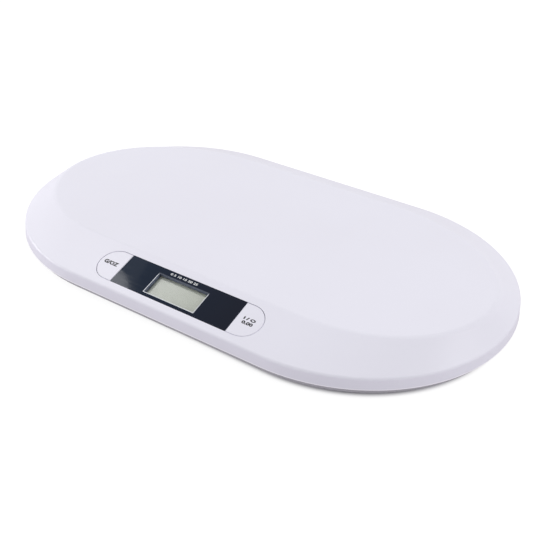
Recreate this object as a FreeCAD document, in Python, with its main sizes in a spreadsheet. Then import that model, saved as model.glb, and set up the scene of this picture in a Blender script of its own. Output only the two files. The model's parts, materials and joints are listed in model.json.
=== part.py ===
import FreeCAD, Part
import Sketcher
import math
import os

# Digital baby weighing scale.
# +X runs along the case, -Y is the side with the display, +Z is up, and the
# origin lies on the floor under the middle of the case. Sizes are in mm.

SIZES = {
    # case outline and levels
    "case_length": 550,
    "case_width": 330,
    "ground_gap": 3,
    "rim_bottom": 11,
    "rim_top": 22.3,
    "rim_draft": 1.2,
    "platform_top": 38,
    "cover_wall": 2.6,
    "rim_edge_radius": 2.5,
    "platform_edge_radius": 9,
    # width of the sloping border, and how far the platform's straights outrun the case's
    "end_border": 20.3,
    "front_border": 52.7,
    "back_border": 41.5,
    "front_outrun": 14,
    "back_outrun": -20,
    # ribs and bosses under the platform
    "rib_width": 1.6,
    "rib_depth": 9,
    "rib_pitch_long": 42,
    "rib_pitch_cross": 46,
    "rib_front_margin": 9,
    "boss_diameter": 8,
    "support_diameter": 16,
    "support_bore": 11,
    "support_gap": 0.2,
    # base shell
    "base_inset": 5,
    "base_draft": 1,
    "base_wall": 2.4,
    "base_floor": 2.4,
    "base_wall_top": 13,
    "base_edge_radius": 2.2,
    "base_rib_height": 4,
    "base_rib_width": 1.8,
    "base_rib_end_gap": 165,
    "base_rib_side_gap": 53,
    "base_rib_pitch": 44,
    "tower_diameter": 10,
    "tower_top": 10,
    # screws through the base into the cover
    "case_screw_end_inset": 50,
    "case_screw_end_y": 62,
    "case_screw_side_x": 118,
    "case_screw_side_inset": 30,
    "case_screw_shank": 2.9,
    "case_screw_head": 6,
    "case_screw_head_height": 2.2,
    "case_screw_length": 15,
    "case_screw_seat": 4,
    "screw_clearance": 0.3,
    "thread_clearance": 0.1,
    # sloping control panel, measured along the slope and square to it
    "panel_from_rim": 27,
    "panel_radius": 18.75,
    "pan_wall": 2.4,
    "pan_depth": 4.4,
    "bezel_length": 134.4,
    "bezel_thickness": 2,
    "bezel_sink": 0.2,
    "bezel_gap": 0.15,
    "button_length": 27.8,
    "view_length": 58.2,
    "view_width": 25.2,
    "view_shift": -1.6,
    "collar_wall": 1.8,
    "collar_depth": 1.4,
    "lens_thickness": 0.8,
    "lcd_length": 60,
    "lcd_width": 28,
    "lcd_thickness": 2.8,
    "stack_gap": 0.1,
    "floor_opening_gap": 0.5,
    "lcd_frame_wall": 3.5,
    "lcd_frame_gap": 0.4,
    "strip_width": 2.4,
    "strip_inset": 3,
    # circuit board under the panel
    "board_depth": 10,
    "board_thickness": 1.6,
    "board_end_margin": 6.9,
    "board_width": 33,
    "board_screw_u": 48,
    "board_screw_v": 12,
    "board_boss": 6,
    "board_screw_shank": 2,
    "board_screw_head": 4,
    "board_screw_head_height": 1.4,
    "board_screw_length": 6,
    # buttons
    "button_gap": 0.5,
    "button_top": 2,
    "button_wall": 1.4,
    "button_edge_radius": 0.6,
    "flange_overlap": 1,
    "flange_height": 1.3,
    "flange_rest_gap": 0.1,
    "post_diameter": 7,
    "switch_side": 6,
    "switch_height": 3.5,
    "plunger_diameter": 3.2,
    "plunger_rise": 1.5,
    "plunger_depth": 1.1,
    "plunger_travel": 0.8,
    "plunger_clearance": 0.15,
    # batteries, bay and door
    "cell_diameter": 10.5,
    "cell_length": 43.7,
    "cell_nub": 0.8,
    "cell_nub_diameter": 3.8,
    "cell_pitch": 11,
    "cell_bottom": 7.4,
    "bay_centre_y": 35,
    "bay_length": 50,
    "bay_side_gap": 0.75,
    "bay_wall": 2,
    "bay_head_gap": 0.4,
    "bay_ledge": 4,
    "contact_thickness": 0.5,
    "contact_width": 8.6,
    "contact_height": 9,
    "contact_gap": 0.1,
    "leaf_thickness": 0.4,
    "leaf_width": 6,
    "leaf_bend": 1.2,
    "leaf_bow": 6,
    "leaf_foot": 4.5,
    "leaf_tip": 4,
    "door_thickness": 2,
    "door_gap": 0.4,
    "door_rib_height": 2,
    "door_rib_width": 1.2,
    "door_rib_spacing": 22,
    "tab_width": 5,
    "tab_thickness": 1.2,
    "tab_reach": 3,
    "tab_lift": 0.3,
    "latch_width": 12,
    "latch_height": 2,
    "latch_thickness": 1.2,
    "finger_notch_length": 16,
    "finger_notch_width": 6,
    "finger_notch_depth": 1.2,
    # load cells and feet
    "foot_end_inset": 103,
    "foot_side_inset": 73,
    "pad_diameter": 28,
    "pad_thickness": 2,
    "pad_recess": 0.8,
    "foot_diameter": 32,
    "foot_clearance": 0.7,
    "foot_flange": 36,
    "foot_flange_height": 1.4,
    "foot_flange_lift": 0.4,
    "foot_boss": 9,
    "foot_boss_height": 1,
    "load_cell_side": 34,
    "load_cell_thickness": 1.4,
    "load_cell_band": 4,
    "tongue_width": 12,
    "tongue_slot": 4,
    "corner_post": 4,
    "corner_post_inset": 2,
    "gauge_length": 9,
    "gauge_width": 7,
    "gauge_height": 0.9,
    "bracket_length": 32,
    "bracket_width": 56,
    "bracket_thickness": 3.6,
    "bracket_relief": 1.6,
    "bracket_relief_side": 27,
    "bracket_screw_y": 23.5,
    "bracket_screw_shank": 2.6,
    "bracket_screw_head": 5.2,
    "bracket_screw_head_height": 1.8,
    "bracket_screw_length": 8,
    "bracket_tower": 7,
    "well_ring": 50,
    "well_ring_wall": 2,
    "well_ring_height": 2,
    # inner wiring
    "wire_diameter": 2.2,
    "lead_diameter": 1.5,
    "wire_rest_gap": 0.15,
    "wire_lead": 18,
    "socket_lead": 10,
    "socket_length": 11,
    "socket_width": 6,
    "socket_height": 5,
    "socket_u": 34,
    "socket_v": 10,
    "chip_side": 12,
    "chip_height": 1.4,
    "chip_v": -6,
    "crystal_length": 8,
    "crystal_width": 3.5,
    "crystal_height": 3,
    "crystal_u": 14,
    "capacitor_diameter": 5,
    "capacitor_height": 5,
    "capacitor_u": 62,
}

doc = FreeCAD.newDocument("baby_scale")
sheet = doc.addObject("Spreadsheet::Sheet", "dims")
for row, (alias, number) in enumerate(SIZES.items(), start=1):
    sheet.set(f"A{row}", alias)
    sheet.set(f"B{row}", str(number))
    sheet.setAlias(f"B{row}", alias)
doc.recompute()

parts = []


def mm(alias):
    return float(sheet.get(alias))


def vec(x, y, z):
    return FreeCAD.Vector(x, y, z)


# ------------------------------------------------------------ small helpers


def primitive(kind, name, base, sizes):
    """One Part primitive whose sizes and base point are formulas of the sheet."""
    item = doc.addObject("Part::" + kind, name)
    for size, formula in sizes.items():
        item.setExpression(size, formula)
    for axis, formula in zip("xyz", base):
        item.setExpression("Placement.Base." + axis, formula)
    return item


def block(name, x, y, z, length, width, height):
    """A box centred on x and y that stands on z."""
    base = (f"{x} - ({length}) / 2", f"{y} - ({width}) / 2", z)
    return primitive("Box", name, base, {"Length": length, "Width": width, "Height": height})


def disc(name, x, y, z, diameter, height):
    """An upright cylinder that stands on z."""
    return primitive("Cylinder", name, (x, y, z), {"Radius": f"({diameter}) / 2", "Height": height})


def fuse(name, items):
    item = doc.addObject("Part::MultiFuse", name)
    item.Shapes = items
    item.Refine = True
    return item


def cut(name, base, tool):
    item = doc.addObject("Part::Cut", name)
    item.Base = base
    item.Tool = tool
    item.Refine = True
    return item


def common(name, base, tool):
    item = doc.addObject("Part::Common", name)
    item.Base = base
    item.Tool = tool
    return item


def group(name, items):
    """Separate solids that share one node."""
    item = doc.addObject("Part::Compound", name)
    item.Links = items
    return item


def finish(item, label, placement=None):
    """Name a finished sub-part and put it in its place."""
    item.Label = label
    if placement is not None:
        item.Placement = placement
    parts.append(item)
    return item


def new_body(name):
    return doc.addObject("PartDesign::Body", name)


def loose_sketch(name, level):
    """A level sketch of its own, for the outlines that a loft runs through."""
    sketch = doc.addObject("Sketcher::SketchObject", name)
    sketch.setExpression("Placement.Base.z", level)
    return sketch


def body_sketch(body, name, level):
    """A sketch on the body's own XY plane, raised to a level."""
    sketch = body.newObject("Sketcher::SketchObject", name)
    planes = [plane for plane in body.Origin.OriginFeatures if plane.Role == "XY_Plane"]
    sketch.AttachmentSupport = [(planes[0], "")]
    sketch.MapMode = "FlatFace"
    sketch.setExpression("AttachmentOffset.Base.z", level)
    return sketch


def bind(sketch, kind, place, formula, name):
    """A driving dimension of a sketch, tied to a formula of the sheet."""
    index = sketch.addConstraint(Sketcher.Constraint(kind, *place))
    sketch.renameConstraint(index, name)
    sketch.setExpression("Constraints." + name, formula)


def edges_at(shape, level):
    """Numbers of the edges that lie flat at one level."""
    numbers = []
    for number, edge in enumerate(shape.Edges, start=1):
        box = edge.BoundBox
        if abs(box.ZMin - level) < 0.01 and abs(box.ZMax - level) < 0.01:
            numbers.append(number)
    return numbers


def round_ring(name, base, level, radius):
    """Round every edge of a solid that lies at one level."""
    item = doc.addObject("Part::Fillet", name)
    item.Base = base
    item.Edges = [(number, radius, radius) for number in edges_at(base.Shape, level)]
    return item


# ------------------------------------------------------------ places worked out from the sizes

CASE_SIDE = "(dims.case_width / 2)"
CASE_RUN = "((dims.case_length - dims.case_width) / 2)"
PLATFORM_FRONT = f"({CASE_SIDE} - dims.front_border)"
PLATFORM_BACK = f"({CASE_SIDE} - dims.back_border)"
FRONT_RUN = f"({CASE_RUN} + dims.front_outrun)"
BACK_RUN = f"({CASE_RUN} + dims.back_outrun)"
FOOT_X = "(dims.case_length / 2 - dims.foot_end_inset)"
FOOT_Y = f"({CASE_SIDE} - dims.foot_side_inset)"
FLOOR = "(dims.ground_gap + dims.base_floor)"
FOOT_FLANGE = f"({FLOOR} + dims.foot_flange_lift)"
CELL_LEVEL = f"({FOOT_FLANGE} + dims.foot_flange_height + dims.foot_boss_height)"
BRACKET_LEVEL = f"({CELL_LEVEL} + dims.load_cell_thickness)"
BRACKET_TOP = f"({BRACKET_LEVEL} + dims.bracket_thickness)"
PANEL_RUN = "(dims.bezel_length / 2 + dims.button_length - dims.panel_radius)"
BEZEL_BACK = "(dims.bezel_sink + dims.bezel_thickness)"
LENS_FRONT = f"({BEZEL_BACK} + dims.collar_depth)"
LCD_FRONT = f"({LENS_FRONT} + dims.lens_thickness + dims.stack_gap)"
LCD_BACK = f"({LCD_FRONT} + dims.lcd_thickness)"
BOARD_BACK = "(dims.board_depth + dims.board_thickness)"
COLLAR_LENGTH = "(dims.view_length + 2 * dims.collar_wall)"
COLLAR_WIDTH = "(dims.view_width + 2 * dims.collar_wall)"
BUTTON_U = "(dims.bezel_length / 2 + dims.button_length / 2)"
BAY_HALF = "(2 * dims.cell_pitch + dims.bay_side_gap)"
BAY_ROOF = "(dims.cell_bottom + dims.cell_diameter + dims.bay_head_gap)"
BAY_FRONT = "(dims.bay_centre_y - dims.bay_length / 2)"
BAY_BACK = "(dims.bay_centre_y + dims.bay_length / 2)"
CELL_AXIS = "(dims.cell_bottom + dims.cell_diameter / 2)"

CORNERS = {
    "front_left": (-1, -1),
    "front_right": (1, -1),
    "back_left": (-1, 1),
    "back_right": (1, 1),
}

# ------------------------------------------------------------ outlines


def case_outline(name, level, inset):
    """The stadium outline of the case: two straights and two round ends, each end in two quarters."""
    sketch = loose_sketch(name, level)
    radius = mm("case_width") / 2
    run = (mm("case_length") - mm("case_width")) / 2
    quarter = math.pi / 2
    right = Part.Circle(vec(run, 0, 0), vec(0, 0, 1), radius)
    left = Part.Circle(vec(-run, 0, 0), vec(0, 0, 1), radius)
    sketch.addGeometry([
        Part.LineSegment(vec(-run, -radius, 0), vec(run, -radius, 0)),
        Part.ArcOfCircle(right, -quarter, 0),
        Part.ArcOfCircle(right, 0, quarter),
        Part.LineSegment(vec(run, radius, 0), vec(-run, radius, 0)),
        Part.ArcOfCircle(left, quarter, 2 * quarter),
        Part.ArcOfCircle(left, 2 * quarter, 3 * quarter),
    ], False)
    for first, second in ((0, 1), (2, 3), (3, 4), (5, 0)):
        sketch.addConstraint(Sketcher.Constraint("Tangent", first, 2, second, 1))
    for first, second in ((1, 2), (4, 5)):
        sketch.addConstraint(Sketcher.Constraint("Coincident", first, 2, second, 1))
        sketch.addConstraint(Sketcher.Constraint("Coincident", first, 3, second, 3))
        sketch.addConstraint(Sketcher.Constraint("PointOnObject", first, 3, -1))
        sketch.addConstraint(Sketcher.Constraint("PointOnObject", first, 2, -1))
    sketch.addConstraint(Sketcher.Constraint("Horizontal", 0))
    bind(sketch, "DistanceX", (-1, 1, 1, 3, run), CASE_RUN, "right_centre")
    bind(sketch, "DistanceX", (4, 3, -1, 1, run), CASE_RUN, "left_centre")
    bind(sketch, "Radius", (1, radius), f"{CASE_SIDE} - ({inset})", "end_radius")
    return sketch


def platform_outline(name, level, inset):
    """The oval of the platform: straights joined by quarter ellipses, wider towards the back."""
    sketch = loose_sketch(name, level)
    reach = mm("case_length") / 2 - mm("end_border")
    front = mm("case_width") / 2 - mm("front_border")
    back = mm("case_width") / 2 - mm("back_border")
    run = (mm("case_length") - mm("case_width")) / 2
    front_run = run + mm("front_outrun")
    back_run = run + mm("back_outrun")
    quarter = math.pi / 2

    def quarter_arc(centre, depth, begin):
        along = reach - abs(centre)
        if along >= depth:
            curve = Part.Ellipse(vec(centre + along, 0, 0), vec(centre, depth, 0), vec(centre, 0, 0))
        else:
            curve = Part.Ellipse(vec(centre, depth, 0), vec(centre - along, 0, 0), vec(centre, 0, 0))
            begin = begin - quarter
        return Part.ArcOfEllipse(curve, begin, begin + quarter)

    sketch.addGeometry([
        Part.LineSegment(vec(-front_run, -front, 0), vec(front_run, -front, 0)),
        quarter_arc(front_run, front, -quarter),
        quarter_arc(back_run, back, 0),
        Part.LineSegment(vec(back_run, back, 0), vec(-back_run, back, 0)),
        quarter_arc(-back_run, back, quarter),
        quarter_arc(-front_run, front, 2 * quarter),
    ], False)
    for first, second in ((0, 1), (2, 3), (3, 4), (5, 0)):
        sketch.addConstraint(Sketcher.Constraint("Tangent", first, 2, second, 1))
    for first, second in ((1, 2), (4, 5)):
        sketch.addConstraint(Sketcher.Constraint("Coincident", first, 2, second, 1))
        sketch.addConstraint(Sketcher.Constraint("PointOnObject", first, 2, -1))
    for arc in (1, 2, 4, 5):
        sketch.addConstraint(Sketcher.Constraint("PointOnObject", arc, 3, -1))
    for line in (0, 3):
        sketch.addConstraint(Sketcher.Constraint("Horizontal", line))
    bind(sketch, "DistanceX", (-1, 1, 1, 3, front_run), FRONT_RUN, "front_right_run")
    bind(sketch, "DistanceX", (5, 3, -1, 1, front_run), FRONT_RUN, "front_left_run")
    bind(sketch, "DistanceX", (-1, 1, 2, 3, back_run), BACK_RUN, "back_right_run")
    bind(sketch, "DistanceX", (4, 3, -1, 1, back_run), BACK_RUN, "back_left_run")
    bind(sketch, "DistanceX", (-1, 1, 0, 2, front_run), FRONT_RUN, "front_line_right")
    bind(sketch, "DistanceX", (0, 1, -1, 1, front_run), FRONT_RUN, "front_line_left")
    bind(sketch, "DistanceX", (-1, 1, 3, 1, back_run), BACK_RUN, "back_line_right")
    bind(sketch, "DistanceX", (3, 2, -1, 1, back_run), BACK_RUN, "back_line_left")
    half = f"dims.case_length / 2 - dims.end_border - ({inset})"
    bind(sketch, "DistanceX", (-1, 1, 1, 2, reach), half, "right_end")
    bind(sketch, "DistanceX", (4, 2, -1, 1, reach), half, "left_end")
    bind(sketch, "DistanceY", (0, 1, -1, 1, front), f"{PLATFORM_FRONT} - ({inset})", "front_depth")
    bind(sketch, "DistanceY", (-1, 1, 3, 1, back), f"{PLATFORM_BACK} - ({inset})", "back_depth")
    return sketch


def straight_loft(name, outlines):
    """A solid with straight rules through a stack of outlines."""
    loft = doc.addObject("Part::Loft", name)
    loft.Sections = outlines
    loft.Solid = True
    loft.Ruled = True
    return loft


def cover_form():
    """Outer form of the cover: upright rim, sloping border and flat platform."""
    skin = straight_loft("cover_skin", [
        case_outline("rim_foot", "dims.rim_bottom", "0"),
        case_outline("rim_head", "dims.rim_top", "dims.rim_draft"),
        platform_outline("platform_edge", "dims.platform_top", "0"),
    ])
    doc.recompute()
    crest = round_ring("platform_rounding", skin, mm("platform_top"), mm("platform_edge_radius"))
    doc.recompute()
    return round_ring("rim_rounding", crest, mm("rim_top"), mm("rim_edge_radius"))


def cover_cavity():
    """The hollow under the cover, one wall inside its outer form."""
    return straight_loft("cover_cavity", [
        case_outline("cavity_foot", "dims.rim_bottom", "dims.cover_wall"),
        case_outline("cavity_head", "dims.rim_top - dims.cover_wall / 2", "dims.rim_draft + dims.cover_wall"),
        platform_outline("cavity_roof", "dims.platform_top - dims.cover_wall", "0"),
    ])




# ------------------------------------------------------------ body helpers


def add_rectangle(sketch, name, x, y, length, width):
    """A rectangle centred on x and y."""
    corners = [vec(-1, -1, 0), vec(1, -1, 0), vec(1, 1, 0), vec(-1, 1, 0)]
    first = sketch.GeometryCount
    for index in range(4):
        sketch.addGeometry(Part.LineSegment(corners[index], corners[(index + 1) % 4]), False)
    for index in range(4):
        following = first + (index + 1) % 4
        sketch.addConstraint(Sketcher.Constraint("Coincident", first + index, 2, following, 1))
        direction = ("Horizontal", "Vertical")[index % 2]
        sketch.addConstraint(Sketcher.Constraint(direction, first + index))
    bind(sketch, "DistanceX", (-1, 1, first, 1, -1), f"{x} - ({length}) / 2", name + "_x")
    bind(sketch, "DistanceY", (-1, 1, first, 1, -1), f"{y} - ({width}) / 2", name + "_y")
    bind(sketch, "DistanceX", (first, 1, first, 2, 2), length, name + "_length")
    bind(sketch, "DistanceY", (first + 1, 1, first + 1, 2, 2), width, name + "_width")


def add_circle(sketch, name, x, y, diameter):
    number = sketch.addGeometry(Part.Circle(vec(1, 1, 0), vec(0, 0, 1), 1), False)
    bind(sketch, "DistanceX", (-1, 1, number, 3, 1), x, name + "_x")
    bind(sketch, "DistanceY", (-1, 1, number, 3, 1), y, name + "_y")
    bind(sketch, "Diameter", (number, 2), diameter, name + "_diameter")


def add_key_outline(sketch, inner, centre, radius):
    """The D outline of a button: one straight side and one round end."""
    quarter = math.pi / 2
    sketch.addGeometry([
        Part.LineSegment(vec(60, 18, 0), vec(60, -18, 0)),
        Part.LineSegment(vec(60, -18, 0), vec(77, -18, 0)),
        Part.ArcOfCircle(Part.Circle(vec(77, 0, 0), vec(0, 0, 1), 18), -quarter, quarter),
        Part.LineSegment(vec(77, 18, 0), vec(60, 18, 0)),
    ], False)
    for first, second in ((0, 1), (3, 0)):
        sketch.addConstraint(Sketcher.Constraint("Coincident", first, 2, second, 1))
    for first, second in ((1, 2), (2, 3)):
        sketch.addConstraint(Sketcher.Constraint("Tangent", first, 2, second, 1))
    sketch.addConstraint(Sketcher.Constraint("Vertical", 0))
    sketch.addConstraint(Sketcher.Constraint("Horizontal", 1))
    sketch.addConstraint(Sketcher.Constraint("Horizontal", 3))
    sketch.addConstraint(Sketcher.Constraint("PointOnObject", 2, 3, -1))
    bind(sketch, "DistanceX", (-1, 1, 0, 1, 60), inner, "inner")
    bind(sketch, "DistanceX", (-1, 1, 2, 3, 77), centre, "centre")
    bind(sketch, "Radius", (2, 18), radius, "radius")


def pad(body, sketch, name, height):
    feature = body.newObject("PartDesign::Pad", name)
    feature.Profile = sketch
    feature.setExpression("Length", height)
    body.Tip = feature
    return feature


def pocket(body, sketch, name, depth):
    """Cut downwards from the sketch."""
    feature = body.newObject("PartDesign::Pocket", name)
    feature.Profile = sketch
    feature.setExpression("Length", depth)
    body.Tip = feature
    return feature


# ------------------------------------------------------------ screw and foot places

SIDES = tuple(CORNERS.values())


def case_screw_spots():
    """Places of the eight screws that hold the base to the cover."""
    spots = []
    for across, along in SIDES:
        spots.append((f"{across} * (dims.case_length / 2 - dims.case_screw_end_inset)",
                      f"{along} * dims.case_screw_end_y"))
        spots.append((f"{across} * dims.case_screw_side_x",
                      f"{along} * ({CASE_SIDE} - dims.case_screw_side_inset)"))
    return spots


def foot_spots():
    return [(f"{across} * {FOOT_X}", f"{along} * {FOOT_Y}") for across, along in SIDES]


def board_screw_spots():
    return [(f"{across} * dims.board_screw_u", f"{along} * dims.board_screw_v") for across, along in SIDES]


def panel_frame():
    """Frame of the control panel: X along the case, Y up the slope, Z out of it."""
    rise = mm("platform_top") - mm("rim_top")
    shelf = mm("case_width") / 2 - mm("rim_draft")
    tilt = math.atan2(rise, mm("front_border") - mm("rim_draft"))
    along = mm("panel_from_rim")
    origin = vec(0, along * math.cos(tilt) - shelf, mm("rim_top") + along * math.sin(tilt))
    return FreeCAD.Placement(origin, FreeCAD.Rotation(vec(1, 0, 0), math.degrees(tilt)))


PANEL = panel_frame()


# ------------------------------------------------------------ cover


def cover_structure():
    """Ribs, screw bosses and load posts that hang from the underside of the platform."""
    roof = "(dims.platform_top - dims.cover_wall)"
    rib_foot = f"{roof} - dims.rib_depth"
    rib_height = "dims.rib_depth + dims.cover_wall / 2"
    items = []
    for number in range(-2, 3):
        items.append(block(f"long_rib_{number + 2}", "0", f"{number} * dims.rib_pitch_long", rib_foot,
                           "dims.case_length", "dims.rib_width", rib_height))
    rib_front = f"({PLATFORM_FRONT} - dims.rib_front_margin)"
    for number in range(-4, 5):
        items.append(block(f"cross_rib_{number + 4}", f"{number} * dims.rib_pitch_cross",
                           f"({CASE_SIDE} - {rib_front}) / 2", rib_foot,
                           "dims.rib_width", f"{CASE_SIDE} + {rib_front}", rib_height))
    for number, (x, y) in enumerate(case_screw_spots()):
        items.append(disc(f"screw_boss_{number}", x, y, "dims.tower_top",
                          "dims.boss_diameter", "dims.platform_top - dims.tower_top"))
    for number, (x, y) in enumerate(foot_spots()):
        foot = f"{BRACKET_TOP} + dims.support_gap"
        items.append(disc(f"load_post_{number}", x, y, foot,
                          "dims.support_diameter", f"dims.platform_top - ({foot})"))
    return fuse("cover_structure", items)


def panel_pan():
    """The thicker pan around the panel, with its four board bosses, in the panel's frame."""
    radius = "(dims.panel_radius + dims.pan_wall)"
    items = [block("pan_middle", "0", "0", "-dims.pan_depth",
                   f"2 * {PANEL_RUN}", f"2 * {radius}", "2 * dims.pan_depth")]
    for side in (-1, 1):
        items.append(disc(f"pan_end_{side + 1}", f"{side} * {PANEL_RUN}", "0", "-dims.pan_depth",
                          f"2 * {radius}", "2 * dims.pan_depth"))
    for number, (u, v) in enumerate(board_screw_spots()):
        items.append(disc(f"board_boss_{number}", u, v, "-dims.board_depth",
                          "dims.board_boss", "dims.board_depth - dims.pan_depth / 2"))
    pan = fuse("panel_pan", items)
    pan.Placement = PANEL
    return pan


def half_disc(name, centre, radius, bottom, height, side):
    """The round end of a key opening, on the side away from the display."""
    item = primitive("Cylinder", name, (centre, "0", bottom), {"Radius": radius, "Height": height})
    item.Angle = 180
    item.Placement.Rotation = FreeCAD.Rotation(vec(0, 0, 1), -90 * side)
    return item


def panel_openings():
    """What is cut out of the cover at the panel, in the panel's frame."""
    recess_height = f"{BEZEL_BACK} + dims.pan_depth"
    items = [block("recess_middle", "0", "0", f"-{BEZEL_BACK}",
                   f"2 * {PANEL_RUN}", "2 * dims.panel_radius", recess_height)]
    through = "dims.pan_depth + dims.board_depth / 2"
    inner = "(dims.bezel_length / 2 + dims.bezel_gap)"
    for side in (-1, 1):
        items.append(half_disc(f"key_end_{side + 1}", f"{side} * {PANEL_RUN}", "dims.panel_radius",
                               "-dims.board_depth / 2", f"{through}", side))
        items.append(block(f"key_opening_{side + 1}", f"{side} * ({inner} + {PANEL_RUN}) / 2", "0",
                           "-dims.board_depth / 2", f"{PANEL_RUN} - {inner}", "2 * dims.panel_radius",
                           through))
    items.append(block("display_opening", "0", "dims.view_shift", "-dims.board_depth / 2",
                       f"{COLLAR_LENGTH} + 2 * dims.floor_opening_gap",
                       f"{COLLAR_WIDTH} + 2 * dims.floor_opening_gap", through))
    openings = fuse("panel_openings", items)
    openings.Placement = PANEL
    return openings


def board_pilots():
    depth = "dims.board_screw_length - dims.board_thickness + dims.screw_clearance"
    pilots = fuse("board_pilots", [
        disc(f"board_pilot_{number}", u, v, "-dims.board_depth",
             "dims.board_screw_shank + dims.thread_clearance", depth)
        for number, (u, v) in enumerate(board_screw_spots())
    ])
    pilots.Placement = PANEL
    return pilots


def cover_bores():
    """Pilot holes of the case screws and the hollows of the load posts."""
    tip = "dims.ground_gap + dims.case_screw_seat + dims.case_screw_length + dims.screw_clearance"
    items = [
        disc(f"case_pilot_{number}", x, y, "dims.tower_top",
             "dims.case_screw_shank + dims.thread_clearance", f"{tip} - dims.tower_top")
        for number, (x, y) in enumerate(case_screw_spots())
    ]
    foot = f"({BRACKET_TOP} + dims.support_gap)"
    for number, (x, y) in enumerate(foot_spots()):
        items.append(disc(f"post_bore_{number}", x, y, foot, "dims.support_bore",
                          f"dims.platform_top - dims.cover_wall - dims.rib_depth - {foot}"))
    return fuse("cover_bores", items)


def make_cover():
    form = cover_form()
    cavity = cover_cavity()
    shell = cut("cover_shell", form, cavity)
    inner = fuse("cover_inner", [cover_structure(), panel_pan()])
    held = common("cover_inner_held", form, inner)
    whole = fuse("cover_whole", [shell, held])
    opened = cut("cover_opened", whole, panel_openings())
    drilled = cut("cover_drilled", opened, board_pilots())
    finish(cut("cover_finished", drilled, cover_bores()), "top_cover")


# ------------------------------------------------------------ base


def base_form():
    tray = straight_loft("base_skin", [
        case_outline("base_foot", "dims.ground_gap", "dims.base_inset"),
        case_outline("base_head", "dims.base_wall_top", "dims.base_inset - dims.base_draft"),
    ])
    doc.recompute()
    return round_ring("base_rounding", tray, mm("ground_gap"), mm("base_edge_radius"))


def base_cavity():
    return straight_loft("base_cavity", [
        case_outline("base_hollow_foot", FLOOR, "dims.base_inset + dims.base_wall"),
        case_outline("base_hollow_head", "dims.base_wall_top",
                     "dims.base_inset - dims.base_draft + dims.base_wall"),
    ])


def base_structure():
    """Ribs, screw towers, foot wells and the battery bay that stand on the base floor."""
    half_floor = "dims.ground_gap + dims.base_floor / 2"
    rib_height = "dims.base_rib_height + dims.base_floor / 2"
    items = []
    for number in (-2, -1, 0, 2):
        items.append(block(f"base_long_rib_{number + 2}", "0", f"{number} * dims.base_rib_pitch", half_floor,
                           "dims.case_length - 2 * dims.base_rib_end_gap", "dims.base_rib_width",
                           rib_height))
    for number in (-2, -1, 1, 2):
        items.append(block(f"base_cross_rib_{number + 2}", f"{number} * dims.base_rib_pitch", "0", half_floor,
                           "dims.base_rib_width", "dims.case_width - 2 * dims.base_rib_side_gap",
                           rib_height))
    for number, (x, y) in enumerate(case_screw_spots()):
        items.append(disc(f"screw_tower_{number}", x, y, "dims.ground_gap",
                          "dims.tower_diameter", "dims.tower_top - dims.ground_gap"))
    for number, (x, y) in enumerate(foot_spots()):
        ring = cut(f"well_{number}",
                   disc(f"well_outer_{number}", x, y, half_floor, "dims.well_ring",
                        "dims.base_floor / 2 + dims.well_ring_height"),
                   disc(f"well_inner_{number}", x, y, half_floor,
                        "dims.well_ring - 2 * dims.well_ring_wall",
                        "dims.base_floor / 2 + dims.well_ring_height"))
        items.append(ring)
        for side in (-1, 1):
            items.append(disc(f"bracket_tower_{number}_{side + 1}", x,
                              f"{y} + {side} * dims.bracket_screw_y", half_floor,
                              "dims.bracket_tower", f"{BRACKET_LEVEL} - ({half_floor})"))
        reach = "(dims.load_cell_side / 2 - dims.corner_post_inset)"
        for across, along in SIDES:
            items.append(block(f"corner_post_{number}_{across + 1}_{along + 1}",
                               f"{x} + {across} * {reach}", f"{y} + {along} * {reach}", half_floor,
                               "dims.corner_post", "dims.corner_post", f"{CELL_LEVEL} - ({half_floor})"))
    items.append(block("bay_case", "0", "dims.bay_centre_y", half_floor,
                       f"2 * ({BAY_HALF} + dims.bay_wall)", "dims.bay_length + 2 * dims.bay_wall",
                       f"{BAY_ROOF} + dims.bay_wall - ({half_floor})"))
    return fuse("base_structure", items)


def base_openings():
    """Foot holes, screw holes, the battery bay with its opening, and the finger notch."""
    below = "dims.ground_gap - 1"
    items = []
    for number, (x, y) in enumerate(case_screw_spots()):
        items.append(disc(f"case_hole_{number}", x, y, below,
                          "dims.case_screw_shank + 2 * dims.screw_clearance",
                          "dims.tower_top - dims.ground_gap + 2"))
        items.append(disc(f"case_counterbore_{number}", x, y, below,
                          "dims.case_screw_head + 2 * dims.screw_clearance",
                          "dims.case_screw_seat + 1"))
    for number, (x, y) in enumerate(foot_spots()):
        items.append(disc(f"foot_hole_{number}", x, y, below,
                          "dims.foot_diameter + 2 * dims.foot_clearance", "dims.base_floor + 2"))
        for side in (-1, 1):
            items.append(disc(f"bracket_pilot_{number}_{side + 1}", x,
                              f"{y} + {side} * dims.bracket_screw_y",
                              f"{BRACKET_TOP} - dims.bracket_screw_length - dims.screw_clearance",
                              "dims.bracket_screw_shank + dims.thread_clearance",
                              "dims.bracket_screw_length"))
    items.append(block("bay_hollow", "0", "dims.bay_centre_y", FLOOR, f"2 * {BAY_HALF}",
                       "dims.bay_length", f"{BAY_ROOF} - {FLOOR}"))
    items.append(block("bay_opening", "0", "dims.bay_centre_y - dims.bay_ledge / 2", below,
                       f"2 * {BAY_HALF}", "dims.bay_length - dims.bay_ledge", f"{FLOOR} - ({below}) + 1"))
    items.append(block("finger_notch", "0", f"{BAY_FRONT} - dims.finger_notch_width / 2", below,
                       "dims.finger_notch_length", "dims.finger_notch_width",
                       "dims.finger_notch_depth + 1"))
    return fuse("base_openings", items)


def make_base():
    tray = cut("base_tray", base_form(), base_cavity())
    whole = fuse("base_whole", [tray, base_structure()])
    finish(cut("base_finished", whole, base_openings()), "base_shell")


# ------------------------------------------------------------ display


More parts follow.
